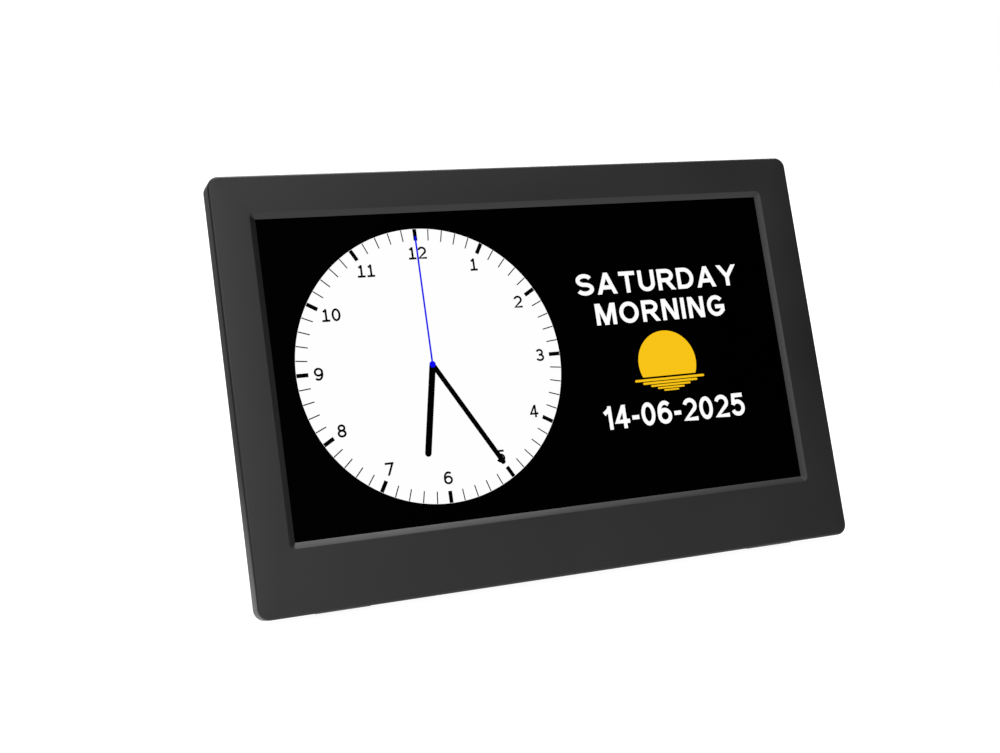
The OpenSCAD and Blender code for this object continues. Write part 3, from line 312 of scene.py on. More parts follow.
def lit_pixels(name, colour, seam):
    """Emission of one colour, crossed by seams of a slightly darker one every PIXEL_MM."""
    material = new_finish(name, "#000000", 0.4, **{"IOR": 1.05, "Emission Strength": 1.0})
    tree = material.node_tree
    shader = shader_of(material)
    place = add_node(tree, "ShaderNodeTexCoord").outputs["Object"]
    flat = add_node(tree, "ShaderNodeMapping", UPRIGHT, {"Vector": place})
    grid = {"Scale": 1000 / PIXEL_MM, "Mortar Size": 0.06, "Brick Width": 1.0, "Row Height": 1.0,
            "offset": 0.0, "Color1": linear(colour), "Color2": linear(colour), "Mortar": linear(seam)}
    pixels = add_node(tree, "ShaderNodeTexBrick", grid, {"Vector": flat.outputs[0]})
    tree.links.new(pixels.outputs["Color"], shader.inputs["Emission Color"])
    material.diffuse_color = linear(colour)
    return material


lit_white = lit_pixels("screen_light_white", "#ffffff", "#fafafb")
lit_yellow = lit_pixels("screen_light_yellow", "#fbc619", "#f0bb12")
lit_blue = lit_pixels("screen_light_blue", "#0a0af0", "#0808dc")
unlit = lit_pixels("screen_light_off", "#000000", "#020202")
print("pixel pitch", PIXEL_MM, "mm")

# %% [markdown]
# ## Dress the solids
# Every solid that stays gets its finish here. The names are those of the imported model, and the print
# below lists any solid that has been forgotten.

# %% Finishes on the solids
KEYS = ("power", "menu", "up", "down", "left", "right", "exit")
DRESS = {
    frame_abs: ["front_frame"],
    cover_abs: ["rear_cover"],
    leg_abs: ["stand_leg"],
    key_abs: [f"key_{k}" for k in KEYS],
    rubber: ["front_feet", "stand_boot"],
    screen_film: ["lcd_glass"],
    black_steel: ["lcd_front_frame"],
    rolled_steel: ["lcd_rear_tray", "hinge_pin", "coin_cell"],
    white_abs: ["lcd_mould_frame", "board_connectors"],
    acrylic: ["light_guide"],
    milky_film: ["prism_film", "diffuser_film", "reflector_film", "led_strip"],
    circuit_board: ["main_board", "key_board", "lcd_driver_board"],
    epoxy: ["processor", "memory_chips"],
    dark_nylon: ["cell_holder", "power_inlet", "usb_tongue", "switch_bodies", "speaker_frame"]
    + [f"plunger_{k}" for k in KEYS],
    can_aluminium: ["power_parts"],
    tin_plate: ["usb_socket", "card_socket"],
    nickel: ["power_inlet_pin"],
    cable_film: ["display_cable", "key_cable"],
    copper_film: ["lcd_flex"],
    foam: ["foam_strips", "speaker_gasket"],
    cone_paper: ["speaker_cone"],
    ferrite: ["speaker_magnet"],
    wire_vinyl: ["speaker_lead"],
    screw_steel: ["case_screws", "board_screws", "speaker_screws"],
    label_film: ["rating_label"],
}
for finish, names in DRESS.items():
    for name in names:
        for part_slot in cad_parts[name].material_slots:
            part_slot.material = finish
dressed = {name for names in DRESS.values() for name in names}
print("dressed", len(dressed), "left over", sorted(set(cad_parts) - dressed))

# %% [markdown]
# ## Shells made of rings
# The frame and the keys are mouldings whose outline is a rectangle with round corners, and whose section
# changes with depth. So each is a stack of rings. A ring has a middle (cx, cy), half sizes (hx, hy), a
# corner radius r and a depth d, and the next ring joins it point to point. The grid's two parameters are
# the place along the ring and the number of the ring, and all points come from one array formula.

# %% Ringed shells
CORNER_STEPS = 12


def ring_points(rings):
    """Corner k has its middle at (cx + sx (hx - r), cy + sy (hy - r)), and its points lie r away from it
    at angles from k * 90 to (k + 1) * 90 degrees. Four corners make one ring."""
    cx, cy, hx, hy, r, d = np.asarray(rings, float).T[:, :, None, None]
    angle = np.radians(90) * (np.arange(4)[:, None] + np.linspace(0, 1, CORNER_STEPS + 1)[None, :])
    sx = np.array([1, -1, -1, 1])[:, None]
    sy = np.array([1, 1, -1, -1])[:, None]
    x = cx + sx * (hx - r) + r * np.cos(angle)
    y = cy + sy * (hy - r) + r * np.sin(angle)
    d = np.broadcast_to(d, x.shape)
    return np.stack([x, y, d], -1).reshape(len(rings), -1, 3)


def grid_faces(rows, columns, closed):
    """Quad (i, j) joins points (i, j), (i, j + 1), (i + 1, j + 1) and (i + 1, j). Columns wrap round, and
    so do rows where the shell is closed."""
    i = np.arange(rows if closed else rows - 1)[:, None]
    j = np.arange(columns)[None, :]
    next_i, next_j = (i + 1) % rows, (j + 1) % columns
    row, next_row = i * columns, next_i * columns
    return np.stack([row + j, row + next_j, next_row + next_j, next_row + j], -1).reshape(-1, 4)


def make_piece(name, points, faces, finish, body, soften=35):
    """A mesh from room points, smooth except where faces meet at more than soften degrees."""
    mesh = bpy.data.meshes.new(name)
    mesh.from_pydata(points.reshape(-1, 3).tolist(), [], [list(map(int, f)) for f in faces])
    mesh.materials.append(finish)
    mesh.polygons.foreach_set("use_smooth", np.ones(len(mesh.polygons), bool))
    mesh.set_sharp_from_angle(angle=math.radians(soften))
    mesh.validate()
    piece = bpy.data.objects.new(name, mesh)
    bpy.context.scene.collection.objects.link(piece)
    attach(piece, body)
    return piece


def outward(points, faces):
    """Faces turned so that the shell's volume, the sum of a . (b x c) / 6 over its triangles, is positive."""
    flat = points.reshape(-1, 3)
    a, b, c, e = (flat[faces[:, k]] for k in range(4))
    volume = (np.einsum("ij,ij->i", a, np.cross(b, c)) + np.einsum("ij,ij->i", a, np.cross(c, e))).sum() / 6
    return faces[:, ::-1] if volume < 0 else faces


print("points in a ring", 4 * (CORNER_STEPS + 1))

# %% [markdown]
# ## The front frame
# The real frame is one moulding. From the window outwards it has a short upright wall, a slope 2.4 mm wide
# that leads the eye down to the screen, the flat face, a rounded rim of 1 mm and the side wall. A tool
# can't cut a perfectly sharp edge, and those small radii are what catches the light, so each edge here
# gets its own: 0.28 mm at the slope, 1 mm at the rim and 0.25 mm at the back. The section then turns
# inside and comes back to the window, which closes the shell.

# %% Front frame shell
FRAME_W, FRAME_H, FRAME_D = 258.5, 169.1, 9.5
WINDOW_X, WINDOW_Y, WINDOW_W, WINDOW_H = -0.4, 4.9, 223.5, 124.7
SLOPE_W, SLOPE_D, LIP_D, RIM_R, CORNER_R = 2.4, 1.3, 1.5, 1.0, 4.5
POCKET_W, POCKET_H, FACE_T = 235.7, 143.7, 2.4
RIM_T, SIDE_T, PLATE_D = 1.2, 2.2, 7.3
EDGE_R, BACK_EDGE_R, WINDOW_R, SLOPE_R, POCKET_R = 0.28, 0.25, 0.12, 2.2, 0.3


def window_ring(out, d):
    """The window's outline, grown by out on every side."""
    r = WINDOW_R + max(out, 0) * (SLOPE_R - WINDOW_R) / SLOPE_W
    return [WINDOW_X, WINDOW_Y, WINDOW_W / 2 + out, WINDOW_H / 2 + out, r, d]


def outer_ring(inset, d):
    """The frame's outline, moved inwards by inset."""
    return [0, 0, FRAME_W / 2 - inset, FRAME_H / 2 - inset, CORNER_R - inset, d]


slope_angle = math.atan2(SLOPE_D, SLOPE_W)
tangent = EDGE_R * math.tan(slope_angle / 2)
bend = np.linspace(slope_angle, 0, 6)
slope_top = [window_ring(SLOPE_W + tangent - EDGE_R * math.sin(a), EDGE_R * (1 - math.cos(a))) for a in bend]
quarter = np.radians(np.linspace(0, 90, 10))
rim = [outer_ring(RIM_R * (1 - math.sin(a)), RIM_R * (1 - math.cos(a))) for a in quarter]
front_rings = (
    [window_ring(0.0, LIP_D), window_ring(0.0, SLOPE_D + 0.05), window_ring(0.08, SLOPE_D - 0.02)]
    + slope_top + rim
    + [outer_ring(0.0, FRAME_D - BACK_EDGE_R), outer_ring(0.08, FRAME_D - 0.07)]
    + [outer_ring(BACK_EDGE_R, FRAME_D)]
    + [outer_ring(RIM_T, FRAME_D), outer_ring(RIM_T, PLATE_D)]
    + [outer_ring(SIDE_T, PLATE_D), outer_ring(SIDE_T, FACE_T)]
    + [[WINDOW_X, WINDOW_Y, POCKET_W / 2, POCKET_H / 2, POCKET_R, d] for d in (FACE_T, LIP_D)]
)
front_points = to_room(ring_points(front_rings))
front_faces = outward(front_points, grid_faces(*front_points.shape[:2], closed=True))
front_shell = make_piece("front_frame_soft_edged", front_points, front_faces, frame_abs, "clock")
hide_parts("front_frame")
print("front frame", len(front_rings), "rings,", len(front_faces), "quads")

# %% [markdown]
# ## The keys
# Seven keys stand in a row at the top of the back, each a small rounded bar. A moulded key isn't flat: its
# top is crowned by a few tenths, and its edge is rounded so that a finger slides off. The stack runs from
# the stem over the hidden flange to the crowned top. Each key rides on its own body, so it can be pressed.

# %% Key tops
KEY_Y, KEY_ROW_END, KEY_PITCH = 57.95, 91.55, 11.25
KEY_TOP_D, FLANGE_D, STEM_D, STEM_R = 27.2, 23.5, 21.4, 2.0
FLANGE_HALF_W, FLANGE_HALF_H, FLANGE_T = 4.8, 3.3, 0.8
KEY_HALF_W, KEY_HALF_H, KEY_EDGE_R, CROWN_RISE = 4.0, 2.5, 0.6, 0.25


def key_middle(i):
    """The last key is at the end of the row, and each earlier one is a pitch nearer the middle."""
    return KEY_ROW_END - (len(KEYS) - 1 - i) * KEY_PITCH


def key_rings(i):
    """Stem, flange, wall, rounded edge, and a crown that rises as 1 - (distance / half width) ** 2."""
    x, y = key_middle(i), KEY_Y
    quarter = np.radians(np.linspace(0, 90, 6))
    inwards, upwards = KEY_EDGE_R * (1 - np.cos(quarter)), KEY_EDGE_R * np.sin(quarter)
    wall_top = KEY_TOP_D - CROWN_RISE - KEY_EDGE_R
    rings = [[x, y, STEM_R, STEM_R, STEM_R, d] for d in (STEM_D, FLANGE_D - FLANGE_T)]
    rings += [[x, y, FLANGE_HALF_W, FLANGE_HALF_H, FLANGE_HALF_H, d] for d in (FLANGE_D - FLANGE_T, FLANGE_D)]
    rings += [[x, y, KEY_HALF_W, KEY_HALF_H, KEY_HALF_H, FLANGE_D]]
    rings += [[x, y, KEY_HALF_W - a, KEY_HALF_H - a, KEY_HALF_H - a, wall_top + b]
              for a, b in zip(inwards, upwards)]
    half_h = np.array([1.2, 0.6, 0.2])
    crown = wall_top + KEY_EDGE_R + CROWN_RISE * (1 - (half_h / (KEY_HALF_H - KEY_EDGE_R)) ** 2)
    rings += [[x, y, KEY_HALF_W - KEY_HALF_H + h, h, h, c] for h, c in zip(half_h, crown)]
    return rings


def stacked_piece(name, rings, finish, body):
    """Rings from front to back, joined by quads and capped at both ends, with all faces outwards."""
    points = to_room(ring_points(rings))
    rows, columns = points.shape[:2]
    sides = outward(points, grid_faces(rows, columns, closed=False))
    front, back = list(range(columns)), list(range((rows - 1) * columns, rows * columns))
    turned = sides[0][0] != 0
    caps = [front, back[::-1]] if turned else [front[::-1], back]
    return make_piece(name, points, [*sides, *caps], finish, body)


for i, key in enumerate(KEYS):
    key_piece = stacked_piece(f"key_top_{key}", key_rings(i), key_abs, f"key_{key}_body")
    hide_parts(f"key_{key}")
print("keys", len(KEYS), "from x", key_middle(0), "to", key_middle(len(KEYS) - 1))

# %% [markdown]
# ## The rating label
# A label is punched with round corners. It lies in a shallow recess, flush with the back, and it stops
# short of the first key's opening. It is left bare.

# %% Label
BACK_D, LABEL_Y, LABEL_W, LABEL_H, LABEL_R, LABEL_T = 26.0, 59.95, 36.6, 13.6, 1.2, 0.15
label_rings = [[0.0, LABEL_Y, LABEL_W / 2, LABEL_H / 2, LABEL_R, d] for d in (BACK_D - LABEL_T, BACK_D)]
label = stacked_piece("rating_label_round_cornered", label_rings, label_film, "clock")
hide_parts("rating_label")
print("label", LABEL_W, "by", LABEL_H, "mm")

# %% [markdown]
# ## The dial on the screen
# The picture is flat, so its pieces are flat sheets a few hundredths of a millimetre in front of the
# screen, each a little in front of the one below, as layers of paint on glass would be. The dial is a
# white disc of 55.3 mm radius. Its 60 strokes and three hands are bars set out by angle, all from the same
# formula: a bar is given by its inner and outer radius, its width and its angle clockwise from twelve.

# %% Disc, strokes and hands
DIAL_X, DIAL_Y, DIAL_R = -48.45, 5.25, 55.3
GLASS_D = 1.7


def on_screen(x, y, lift):
    """A point of the picture, lift mm in front of the glass, as a point of the room."""
    return to_room(np.stack([x, y, np.full_like(x, GLASS_D - lift, dtype=float)], -1))


def sheet_piece(name, outline_x, outline_y, lift, finish):
    """One flat face for each row of the outlines, running anticlockwise as seen from the front."""
    x, y = np.atleast_2d(outline_x), np.atleast_2d(outline_y)
    corners = np.arange(x.size).reshape(x.shape)
    return make_piece(name, on_screen(x, y, lift), corners, finish, "clock")


def disc(cx, cy, r, count=192):
    """Points (cx + r cos a, cy + r sin a) round a circle."""
    a = np.linspace(0, 2 * math.pi, count, endpoint=False)
    return cx + r * np.cos(a), cy + r * np.sin(a)


def bars(angles, r_in, r_out, width, round_end=False):
    """A bar's point at radius q and side s lies at (q sin a + s cos a, q cos a - s sin a) from the pivot."""
    a = np.radians(np.atleast_1d(angles))[:, None]
    if round_end:
        bow = np.radians(np.linspace(-90, 90, 17))
        q = np.concatenate([r_out - width / 2 + width / 2 * np.cos(bow), r_in - width / 2 * np.cos(bow)])
        s = np.concatenate([-width / 2 * np.sin(bow), width / 2 * np.sin(bow)])
    else:
        q = np.array([r_in, r_out, r_out, r_in])
        s = np.array([width, width, -width, -width]) / 2
    q, s = q[None, :], s[None, :]
    return DIAL_X + q * np.sin(a) + s * np.cos(a), DIAL_Y + q * np.cos(a) - s * np.sin(a)


def facing_front(x, y):
    """Turns each outline anticlockwise, by the sign of its area."""
    area = (x * np.roll(y, -1, -1) - np.roll(x, -1, -1) * y).sum(-1)
    turn_round = (area < 0)[:, None]
    return np.where(turn_round, x[:, ::-1], x), np.where(turn_round, y[:, ::-1], y)


STROKE_IN, STROKE_OUT = DIAL_R * 0.913, DIAL_R * 0.998
every = np.arange(60) * 6.0
minutes = every[np.arange(60) % 5 != 0]
# Angles clockwise from twelve, width and lift in mm
strokes = {"minute_strokes": (minutes, 0.46, 0.04), "hour_strokes": (every[::5], 1.6, 0.045)}
# Angle, reach as a share of the dial's radius, width and lift in mm
hands = {"hour_hand": (191.0, 0.668, 2.7, 0.06), "minute_hand": (150.0, 0.884, 2.1, 0.07)}
sheet_piece("dial_disc", *disc(DIAL_X, DIAL_Y, DIAL_R), 0.02, lit_white)
for name, (angles, width, lift) in strokes.items():
    sheet_piece(name, *facing_front(*bars(angles, STROKE_IN, STROKE_OUT, width)), lift, unlit)
for name, (angle, share, width, lift) in hands.items():
    sheet_piece(name, *facing_front(*bars(angle, 0.0, DIAL_R * share, width, True)), lift, unlit)
sheet_piece("second_hand", *facing_front(*bars(0.0, 0.0, DIAL_R * 0.945, 0.75)), 0.08, lit_blue)
sheet_piece("hand_hub", *disc(DIAL_X, DIAL_Y, 1.3, 48), 0.09, lit_blue)
print("dial radius", DIAL_R, "mm with", len(minutes) + 12, "strokes")

# %% [markdown]
# ## Figures and words
# The dial's twelve figures stay upright, a little over 0.8 of its radius out. The day, the part of the day
# and the date are plain words and numbers of any calendar clock. A font's outline grown bolder breaks at
# its sharp corners, so the letters are drawn as a signwriter does: each is a few strokes of one pen, thin
# for the dial and broad for the words. A stroke is a centre line, and its two edges lie half a pen's width
# to the left and right of it. Strokes that reach the top or foot of a letter are cut level there.

# %% Strokes of the letters


def sweep(cx, cy, rx, ry, start, end):
    """Centre line (cx + rx cos a, cy + ry sin a), with a running from start to end in degrees."""
    a = np.radians(np.linspace(start, end, max(6, int(abs(end - start) / 9))))
    return np.stack([cx + rx * np.cos(a), cy + ry * np.sin(a)], -1)


def joined(*parts):
    """Points and centre lines strung together into one centre line."""
    return np.concatenate([np.atleast_2d(np.asarray(p, float)) for p in parts])


STROKES = {
    "0": (0.70, [sweep(0.5, 0.5, 0.5, 0.5, 0, 360)]),
    "1": (0.46, [joined((0.0, 0.72), (0.55, 0.84), (1.0, 0.985)), joined((1, 0), (1, 1))]),
    "l": (0.62, [joined((0.08, 0.84), (0.54, 0.98)), joined((0.54, 0), (0.54, 1)),
                 joined((0.0, 0), (1.0, 0))]),
    "2": (0.72, [joined(sweep(0.5, 0.7, 0.5, 0.3, 165, -38), (0.0, 0.0), (1.0, 0.0))]),
    "3": (0.70, [sweep(0.48, 0.76, 0.44, 0.24, 160, -90), sweep(0.48, 0.26, 0.52, 0.26, 90, -160)]),
    "4": (0.74, [joined((0.64, 1.0), (0.0, 0.26), (1.0, 0.26)), joined((0.72, 0), (0.72, 1))]),
    "5": (0.72, [joined((0.9, 1.0), (0.16, 1.0), (0.06, 0.5)), sweep(0.48, 0.33, 0.52, 0.33, 148, -160)]),
    "6": (0.72, [sweep(0.5, 0.31, 0.5, 0.31, 0, 360),
                 joined(sweep(0.56, 0.5, 0.56, 0.5, 48, 180), (0.0, 0.31))]),
    "7": (0.70, [joined((0.0, 1.0), (0.98, 1.0)), joined((0.98, 1.0), (0.32, 0.0))]),
    "8": (0.70, [sweep(0.5, 0.76, 0.42, 0.24, 0, 360), sweep(0.5, 0.26, 0.5, 0.26, 0, 360)]),
    "9": (0.72, [sweep(0.5, 0.69, 0.5, 0.31, 0, 360),
                 joined(sweep(0.44, 0.5, 0.56, 0.5, -132, 0), (1.0, 0.69))]),
    "-": (0.36, [joined((0, 0.4), (1, 0.4))]),
    "A": (0.96, [joined((0.05, 0), (0.46, 1)), joined((0.95, 0), (0.54, 1)),
                 joined((0.24, 0.27), (0.76, 0.27))]),
    "D": (0.83, [joined((0, 0), (0, 1)),
                 joined((0, 1), (0.4, 1), sweep(0.42, 0.5, 0.58, 0.5, 90, -90), (0.4, 0), (0, 0))]),
    "G": (0.90, [joined(sweep(0.5, 0.5, 0.5, 0.5, 40, 318), (0.96, 0.24)),
                 joined((0.96, 0.16), (0.96, 0.45), (0.56, 0.45))]),
    "I": (0.0, [joined((0.5, 0), (0.5, 1))]),
    "M": (0.98, [joined((0, 0), (0, 1)), joined((0.11, 1), (0.48, 0)),
                 joined((0.89, 1), (0.52, 0)), joined((1, 0), (1, 1))]),
    "N": (0.80, [joined((0, 0), (0, 1)), joined((0.13, 1), (0.87, 0)), joined((1, 0), (1, 1))]),
    "O": (0.94, [sweep(0.5, 0.5, 0.5, 0.5, 0, 360)]),
    "R": (0.82, [joined((0, 0), (0, 1)), joined((0.52, 0.46), (0.94, 0)),
                 joined((0, 1), (0.5, 1), sweep(0.54, 0.73, 0.42, 0.27, 90, -90), (0.5, 0.46), (0, 0.46))]),
    "S": (0.84, [joined(sweep(0.5, 0.75, 0.46, 0.25, 22, 262), sweep(0.5, 0.25, 0.5, 0.25, 82, -158))]),
    "T": (0.78, [joined((0, 1), (1, 1)), joined((0.5, 0), (0.5, 1))]),
    "U": (0.80, [joined((0, 1), (0, 0.4), sweep(0.5, 0.36, 0.5, 0.36, 180, 360), (1, 0.4), (1, 1))]),
    "Y": (0.92, [joined((0.05, 1), (0.5, 0.42)), joined((0.95, 1), (0.5, 0.42)),
                 joined((0.5, 0), (0.5, 0.5))]),
}
print("letters and figures drawn", len(STROKES))

# %% From strokes to sheets


def stroke_edges(line, pen):
    """Edges of a stroke: at each point the normal of the two segments that meet there, lengthened by
    1 / cos(half their turn), times half the pen's width. A level cut slides an end's two points along the
    stroke to height 0 or 1, and any other end is lengthened by half the pen."""
    step = np.diff(line, axis=0)
    step /= np.linalg.norm(step, axis=1, keepdims=True)
    ahead = np.concatenate([step, step[-1:]])
    behind = np.concatenate([step[:1], step])
    if np.allclose(line[0], line[-1]):
        ahead[-1], behind[0] = step[0], step[-1]
    middle = ahead + behind
    middle /= np.linalg.norm(middle, axis=1, keepdims=True)
    reach = 1 / np.clip((middle * ahead).sum(1, keepdims=True), 0.62, 1)
    normal = np.stack([-middle[:, 1], middle[:, 0]], -1) * reach * pen / 2
    left, right = line + normal, line - normal
    if not np.allclose(line[0], line[-1]):
        for end, way in ((0, -step[0]), (-1, step[-1])):
            steep = abs(way[1]) >= 0.3
            inside = 0.5 * pen + 1e-6 < line[end][1] < 1 - 0.5 * pen - 1e-6
            for edge in (left, right):
                if not steep:
                    edge[end] += way * pen / 2
                elif not inside:
                    level = 0.0 if way[1] < 0 else 1.0
                    edge[end] += way * (level - edge[end][1]) / way[1]
    return left, right


def written(name, words, middle, cap_height, finish, lift, pen, gap, width=None):
    """Letters of height 1 set side by side with this gap, scaled to cap_height and, if given, to width,
    in mm, and moved so that the middle of their box is at middle."""
    points, faces, along, count = [], [], 0.0, 0
    for letter in words:
        wide, lines = STROKES[letter]
        wide = max(wide, pen)
        for line in lines:
            placed = np.stack([pen / 2 + line[:, 0] * (wide - pen), pen / 2 + line[:, 1] * (1 - pen)], -1)
            left, right = stroke_edges(placed, pen)
            n = len(left)
            k = count + np.arange(n - 1)
            faces.append(np.stack([k, k + n, k + n + 1, k + 1], -1))
            points += [left + (along, 0), right + (along, 0)]
            count += 2 * n
        along += wide + gap
    flat, faces = np.concatenate(points), np.concatenate(faces)
    run = width / (along - gap) if width else cap_height
    x = (flat[:, 0] - (along - gap) / 2) * run + middle[0]
    y = (flat[:, 1] - 0.5) * cap_height + middle[1]
    return make_piece(name, on_screen(x, y, lift), faces, finish, "clock")


# The figures' height in mm, and how far out they stand as a share of the dial's radius
FIGURE_H, OUT_UP, OUT_ACROSS, OUT_ACROSS_TWO_DIGITS = 5.1, 0.82, 0.84, 0.805
for hour in range(1, 13):
    a = math.radians(30 * hour)
    out_across = OUT_ACROSS if hour < 10 else OUT_ACROSS_TWO_DIGITS
    spot = (DIAL_X + out_across * DIAL_R * math.sin(a), DIAL_Y + OUT_UP * DIAL_R * math.cos(a))
    figure = str(hour).replace("1", "l")
    written(f"dial_figure_{hour}", figure, spot, FIGURE_H, unlit, 0.05, pen=0.165, gap=0.15)
# Words, the middle of their box and their height in mm, pen and gap as shares of the height, width in mm
WORDS = {
    "day_word": ("SATURDAY", (57.25, 33.05), 9.2, 0.19, 0.15, 77.0),
    "day_part_word": ("MORNING", (56.85, 20.05), 9.2, 0.19, 0.17, 62.0),
    "date_numbers": ("14-06-2025", (55.75, -23.5), 9.8, 0.18, 0.13, 67.5),
}
for name, (words, middle, cap_height, pen, gap, width) in WORDS.items():
    written(name, words, middle, cap_height, lit_white, 0.02, pen, gap, width)
print("figures 12, words 2, date 1")

# %% [markdown]
# ## The rising sun
# Day clocks draw a sun for the morning. This one is a plain disc, cut level where it meets the horizon,
# over five round-ended bars that grow shorter downwards. The cut is made in the outline itself: points of
# the circle below the horizon are lifted onto it.

# %% Sun
SUN_X, SUN_Y, SUN_R, HORIZON = 55.8, -2.57, 13.67, -8.1
sun_x, sun_y = disc(SUN_X, SUN_Y, SUN_R, 160)
chord = math.sqrt(SUN_R ** 2 - (HORIZON - SUN_Y) ** 2)
sunk = sun_y < HORIZON
sun_x = np.where(sunk, np.clip(sun_x, SUN_X - chord, SUN_X + chord), sun_x)
sun_y = np.maximum(sun_y, HORIZON)
sheet_piece("sun_disc", sun_x, sun_y, 0.02, lit_yellow)
bar_y = np.array([-9.4, -10.75, -12.0, -13.15, -14.2])
bar_half = np.array([16.0, 12.5, 9.0, 6.0, 3.2])
bar_r = np.array([0.5, 0.48, 0.42, 0.38, 0.34])
bow = np.radians(np.linspace(-90, 90, 9))
bar_x = np.concatenate([SUN_X + bar_half[:, None] + bar_r[:, None] * np.cos(bow),
                        SUN_X - bar_half[:, None] - bar_r[:, None] * np.cos(bow)], 1)
bar_rise = np.concatenate([bar_y[:, None] + bar_r[:, None] * np.sin(bow),
                           bar_y[:, None] - bar_r[:, None] * np.sin(bow)], 1)
sheet_piece("sun_bars", bar_x, bar_rise, 0.02, lit_yellow)
print("sun radius", SUN_R, "chord", round(chord, 2))

# %% [markdown]
# ## The table, the room and the lamps
# The photograph's background is plain white, so the floor is a pale table top that runs out to a white
# room, and it glows just enough for the camera to show as white wherever it isn't in the clock's shadow.
# The room is bright in front, behind and above, and darker at its two sides, as between a photographer's
# black screens. The sides show in the slope at the left of the window and in the frame's rounded left
# edge, and they give the front its slow fade from left to right. In gloss the table shows painted light:
# its glow is painted brighter in front of the clock and darker behind it, like a table top lit from the
# front.

# %% Table top
COLUMNS, ROWS = 41, 57
across, away = np.meshgrid(np.linspace(-5.0, 5.0, COLUMNS), np.linspace(-5.0, 9.0, ROWS))
table_points = np.stack([across, away, 0 * away], -1)
table_mesh = bpy.data.meshes.new("table_top")
corner = np.arange(COLUMNS * ROWS).reshape(ROWS, COLUMNS)[:-1, :-1].ravel()
table_faces = np.stack([corner, corner + 1, corner + COLUMNS + 1, corner + COLUMNS], -1)
table_mesh.from_pydata(table_points.reshape(-1, 3).tolist(), [], table_faces.tolist())
table_top = bpy.data.objects.new("table_top", table_mesh)
bpy.context.scene.collection.objects.link(table_top)
table_top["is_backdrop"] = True


def looked_at(tree):
    """1 for a ray that shows this surface or the room to the camera, straight, in gloss or through glass."""
    rays = add_node(tree, "ShaderNodeLightPath").outputs
    seen = add_node(tree, "ShaderNodeMath", {"operation": "MAXIMUM"},
                    {0: rays["Is Camera Ray"], 1: rays["Is Glossy Ray"]})
    return add_node(tree, "ShaderNodeMath", {"operation": "MAXIMUM"},
                    {0: seen.outputs[0], 1: rays["Is Transmission Ray"]}).outputs[0]


paper = bpy.data.materials.new("laminate_white_matte")
paper.use_nodes = True
paper_tree = paper.node_tree
paper_tree.nodes.clear()
matte = add_node(paper_tree, "ShaderNodeBsdfDiffuse", {"Color": linear("#b4b4b4")})
in_mirror = add_node(paper_tree, "ShaderNodeLightPath").outputs["Is Glossy Ray"]
table_place = add_node(paper_tree, "ShaderNodeTexCoord").outputs["Object"]
backwards = add_node(paper_tree, "ShaderNodeSeparateXYZ", links={"Vector": table_place}).outputs["Y"]
# Painted light: in gloss only, the table's glow is painted 1.3 in front of the clock and falls to 0.22 behind
# it
painted_light_falloff = {"From Min": -0.1, "From Max": 0.15, "To Min": 1.3, "To Max": 0.22}
painted_glow_in_gloss = add_node(paper_tree, "ShaderNodeMapRange", painted_light_falloff, {"Value": backwards}).outputs[0]
strength = add_node(paper_tree, "ShaderNodeMapRange", {"To Min": 0.94},
                    {"Value": in_mirror, "To Max": painted_glow_in_gloss})
glow = add_node(paper_tree, "ShaderNodeEmission", {"Color": (1, 1, 1, 1)}, {"Strength": strength.outputs[0]})
glowing = add_node(paper_tree, "ShaderNodeAddShader", links={0: matte.outputs[0], 1: glow.outputs[0]})
seen_look = add_node(paper_tree, "ShaderNodeMixShader",
                     links={0: in_mirror, 1: glowing.outputs[0], 2: glow.outputs[0]})
table_look = add_node(paper_tree, "ShaderNodeMixShader",
                      links={0: looked_at(paper_tree), 1: matte.outputs[0], 2: seen_look.outputs[0]})
add_node(paper_tree, "ShaderNodeOutputMaterial", links={"Surface": table_look.outputs[0]})
table_mesh.materials.append(paper)
print("table top", len(table_mesh.polygons), "quads")

# %% Room light
room = bpy.data.worlds.new("white_room")
bpy.context.scene.world = room
room.use_nodes = True
room_tree = room.node_tree
room_tree.nodes.clear()
heading = add_node(room_tree, "ShaderNodeTexCoord").outputs["Generated"]
sideways = add_node(room_tree, "ShaderNodeSeparateXYZ", links={"Vector": heading}).outputs["X"]
fall = {"From Min": 0.06, "From Max": 0.7, "To Min": 1.0, "To Max": 0.03, "interpolation_type": "SMOOTHSTEP"}
right_fade = add_node(room_tree, "ShaderNodeMapRange", fall, {"Value": sideways}).outputs[0]
rise = {"From Min": -0.92, "From Max": -0.5, "To Min": 0.12, "To Max": 1.0,
        "interpolation_type": "SMOOTHSTEP"}
left_fade = add_node(room_tree, "ShaderNodeMapRange", rise, {"Value": sideways}).outputs[0]
wall_fade = add_node(room_tree, "ShaderNodeMath", {"operation": "MULTIPLY"},
                     {0: right_fade, 1: left_fade}).outputs[0]
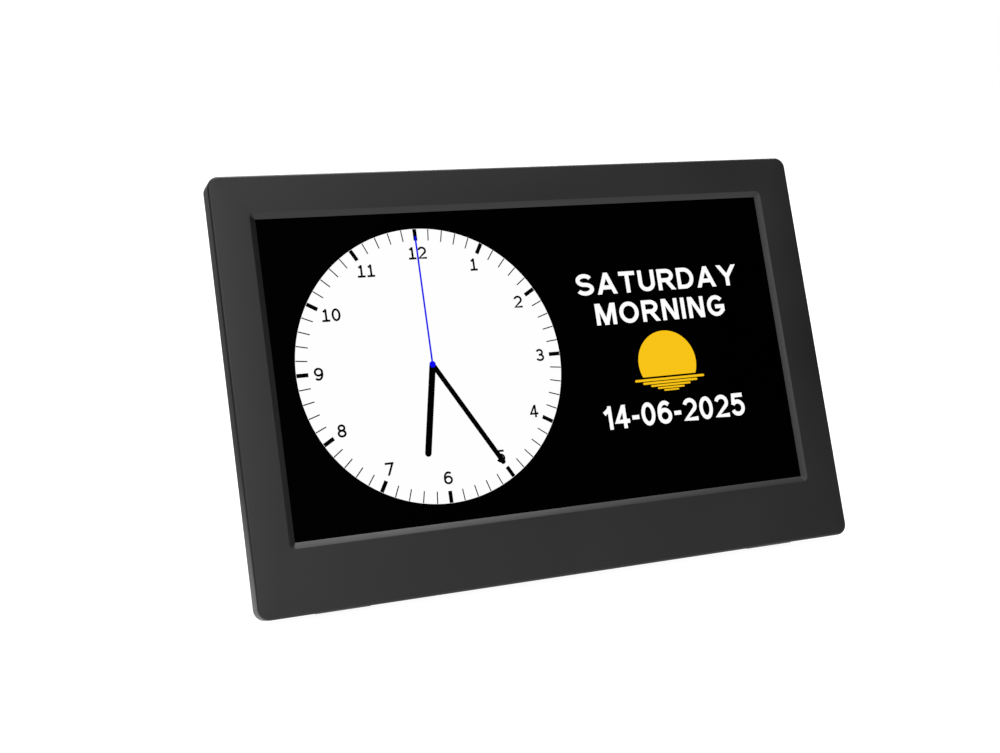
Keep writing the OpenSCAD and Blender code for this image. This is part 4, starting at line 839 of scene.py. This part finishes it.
even = add_node(room_tree, "ShaderNodeMath", {"operation": "MULTIPLY", 1: 0.42}, {0: wall_fade}).outputs[0]
soft_light = add_node(room_tree, "ShaderNodeBackground", {"Color": linear("#f4f5f6")}, {"Strength": even})
in_gloss = add_node(room_tree, "ShaderNodeBackground", {"Color": (1, 1, 1, 1)}, {"Strength": wall_fade})
plain_white = add_node(room_tree, "ShaderNodeBackground", {"Color": (1, 1, 1, 1), "Strength": 1.0})
is_gloss = add_node(room_tree, "ShaderNodeLightPath").outputs["Is Glossy Ray"]
shown = add_node(room_tree, "ShaderNodeMixShader",
                 links={0: is_gloss, 1: plain_white.outputs[0], 2: in_gloss.outputs[0]})
room_look = add_node(room_tree, "ShaderNodeMixShader",
                     links={0: looked_at(room_tree), 1: soft_light.outputs[0], 2: shown.outputs[0]})
add_node(room_tree, "ShaderNodeOutputWorld", links={"Surface": room_look.outputs[0]})
print("room nodes", len(room_tree.nodes))

# %% [markdown]
# ## Lamps
# Three soft square lamps: one at the left in front for the frame's front, one above for the top edge and
# the slope below the window, and one behind so that the back isn't lost in other views.

# %% Lamps


def lamp(name, place, aim, size, power):
    """A square area lamp that looks from place to aim, both in metres."""
    light = bpy.data.lights.new(name, "AREA")
    light.size = size
    light.energy = power
    holder = bpy.data.objects.new(name, light)
    bpy.context.scene.collection.objects.link(holder)
    holder.location = place
    holder.rotation_euler = (Vector(aim) - Vector(place)).to_track_quat("-Z", "Y").to_euler()


lamp("lamp_left", (-0.42, -1.35, 1.0), (0.0, 0.0, 0.08), 0.6, 3.4)
lamp("lamp_above", (0.2, 0.1, 1.5), (0.0, 0.0, 0.08), 0.9, 12.0)
lamp("lamp_behind", (0.7, 1.3, 1.3), (0.0, 0.0, 0.1), 0.8, 16.0)
print("lamps", len(bpy.data.lights))

# %% [markdown]
# ## Sizes
# How far each side of the dressed clock's box lies from that of its solids is printed, in mm.
# The dressed clock must stay inside the box of its solids.

# %% Sizes
dressed_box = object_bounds()
growth = [round(abs(a - b) * 1000, 2) for p, q in zip(cad_box, dressed_box) for a, b in zip(p, q)]
print("grown by (mm)", growth)
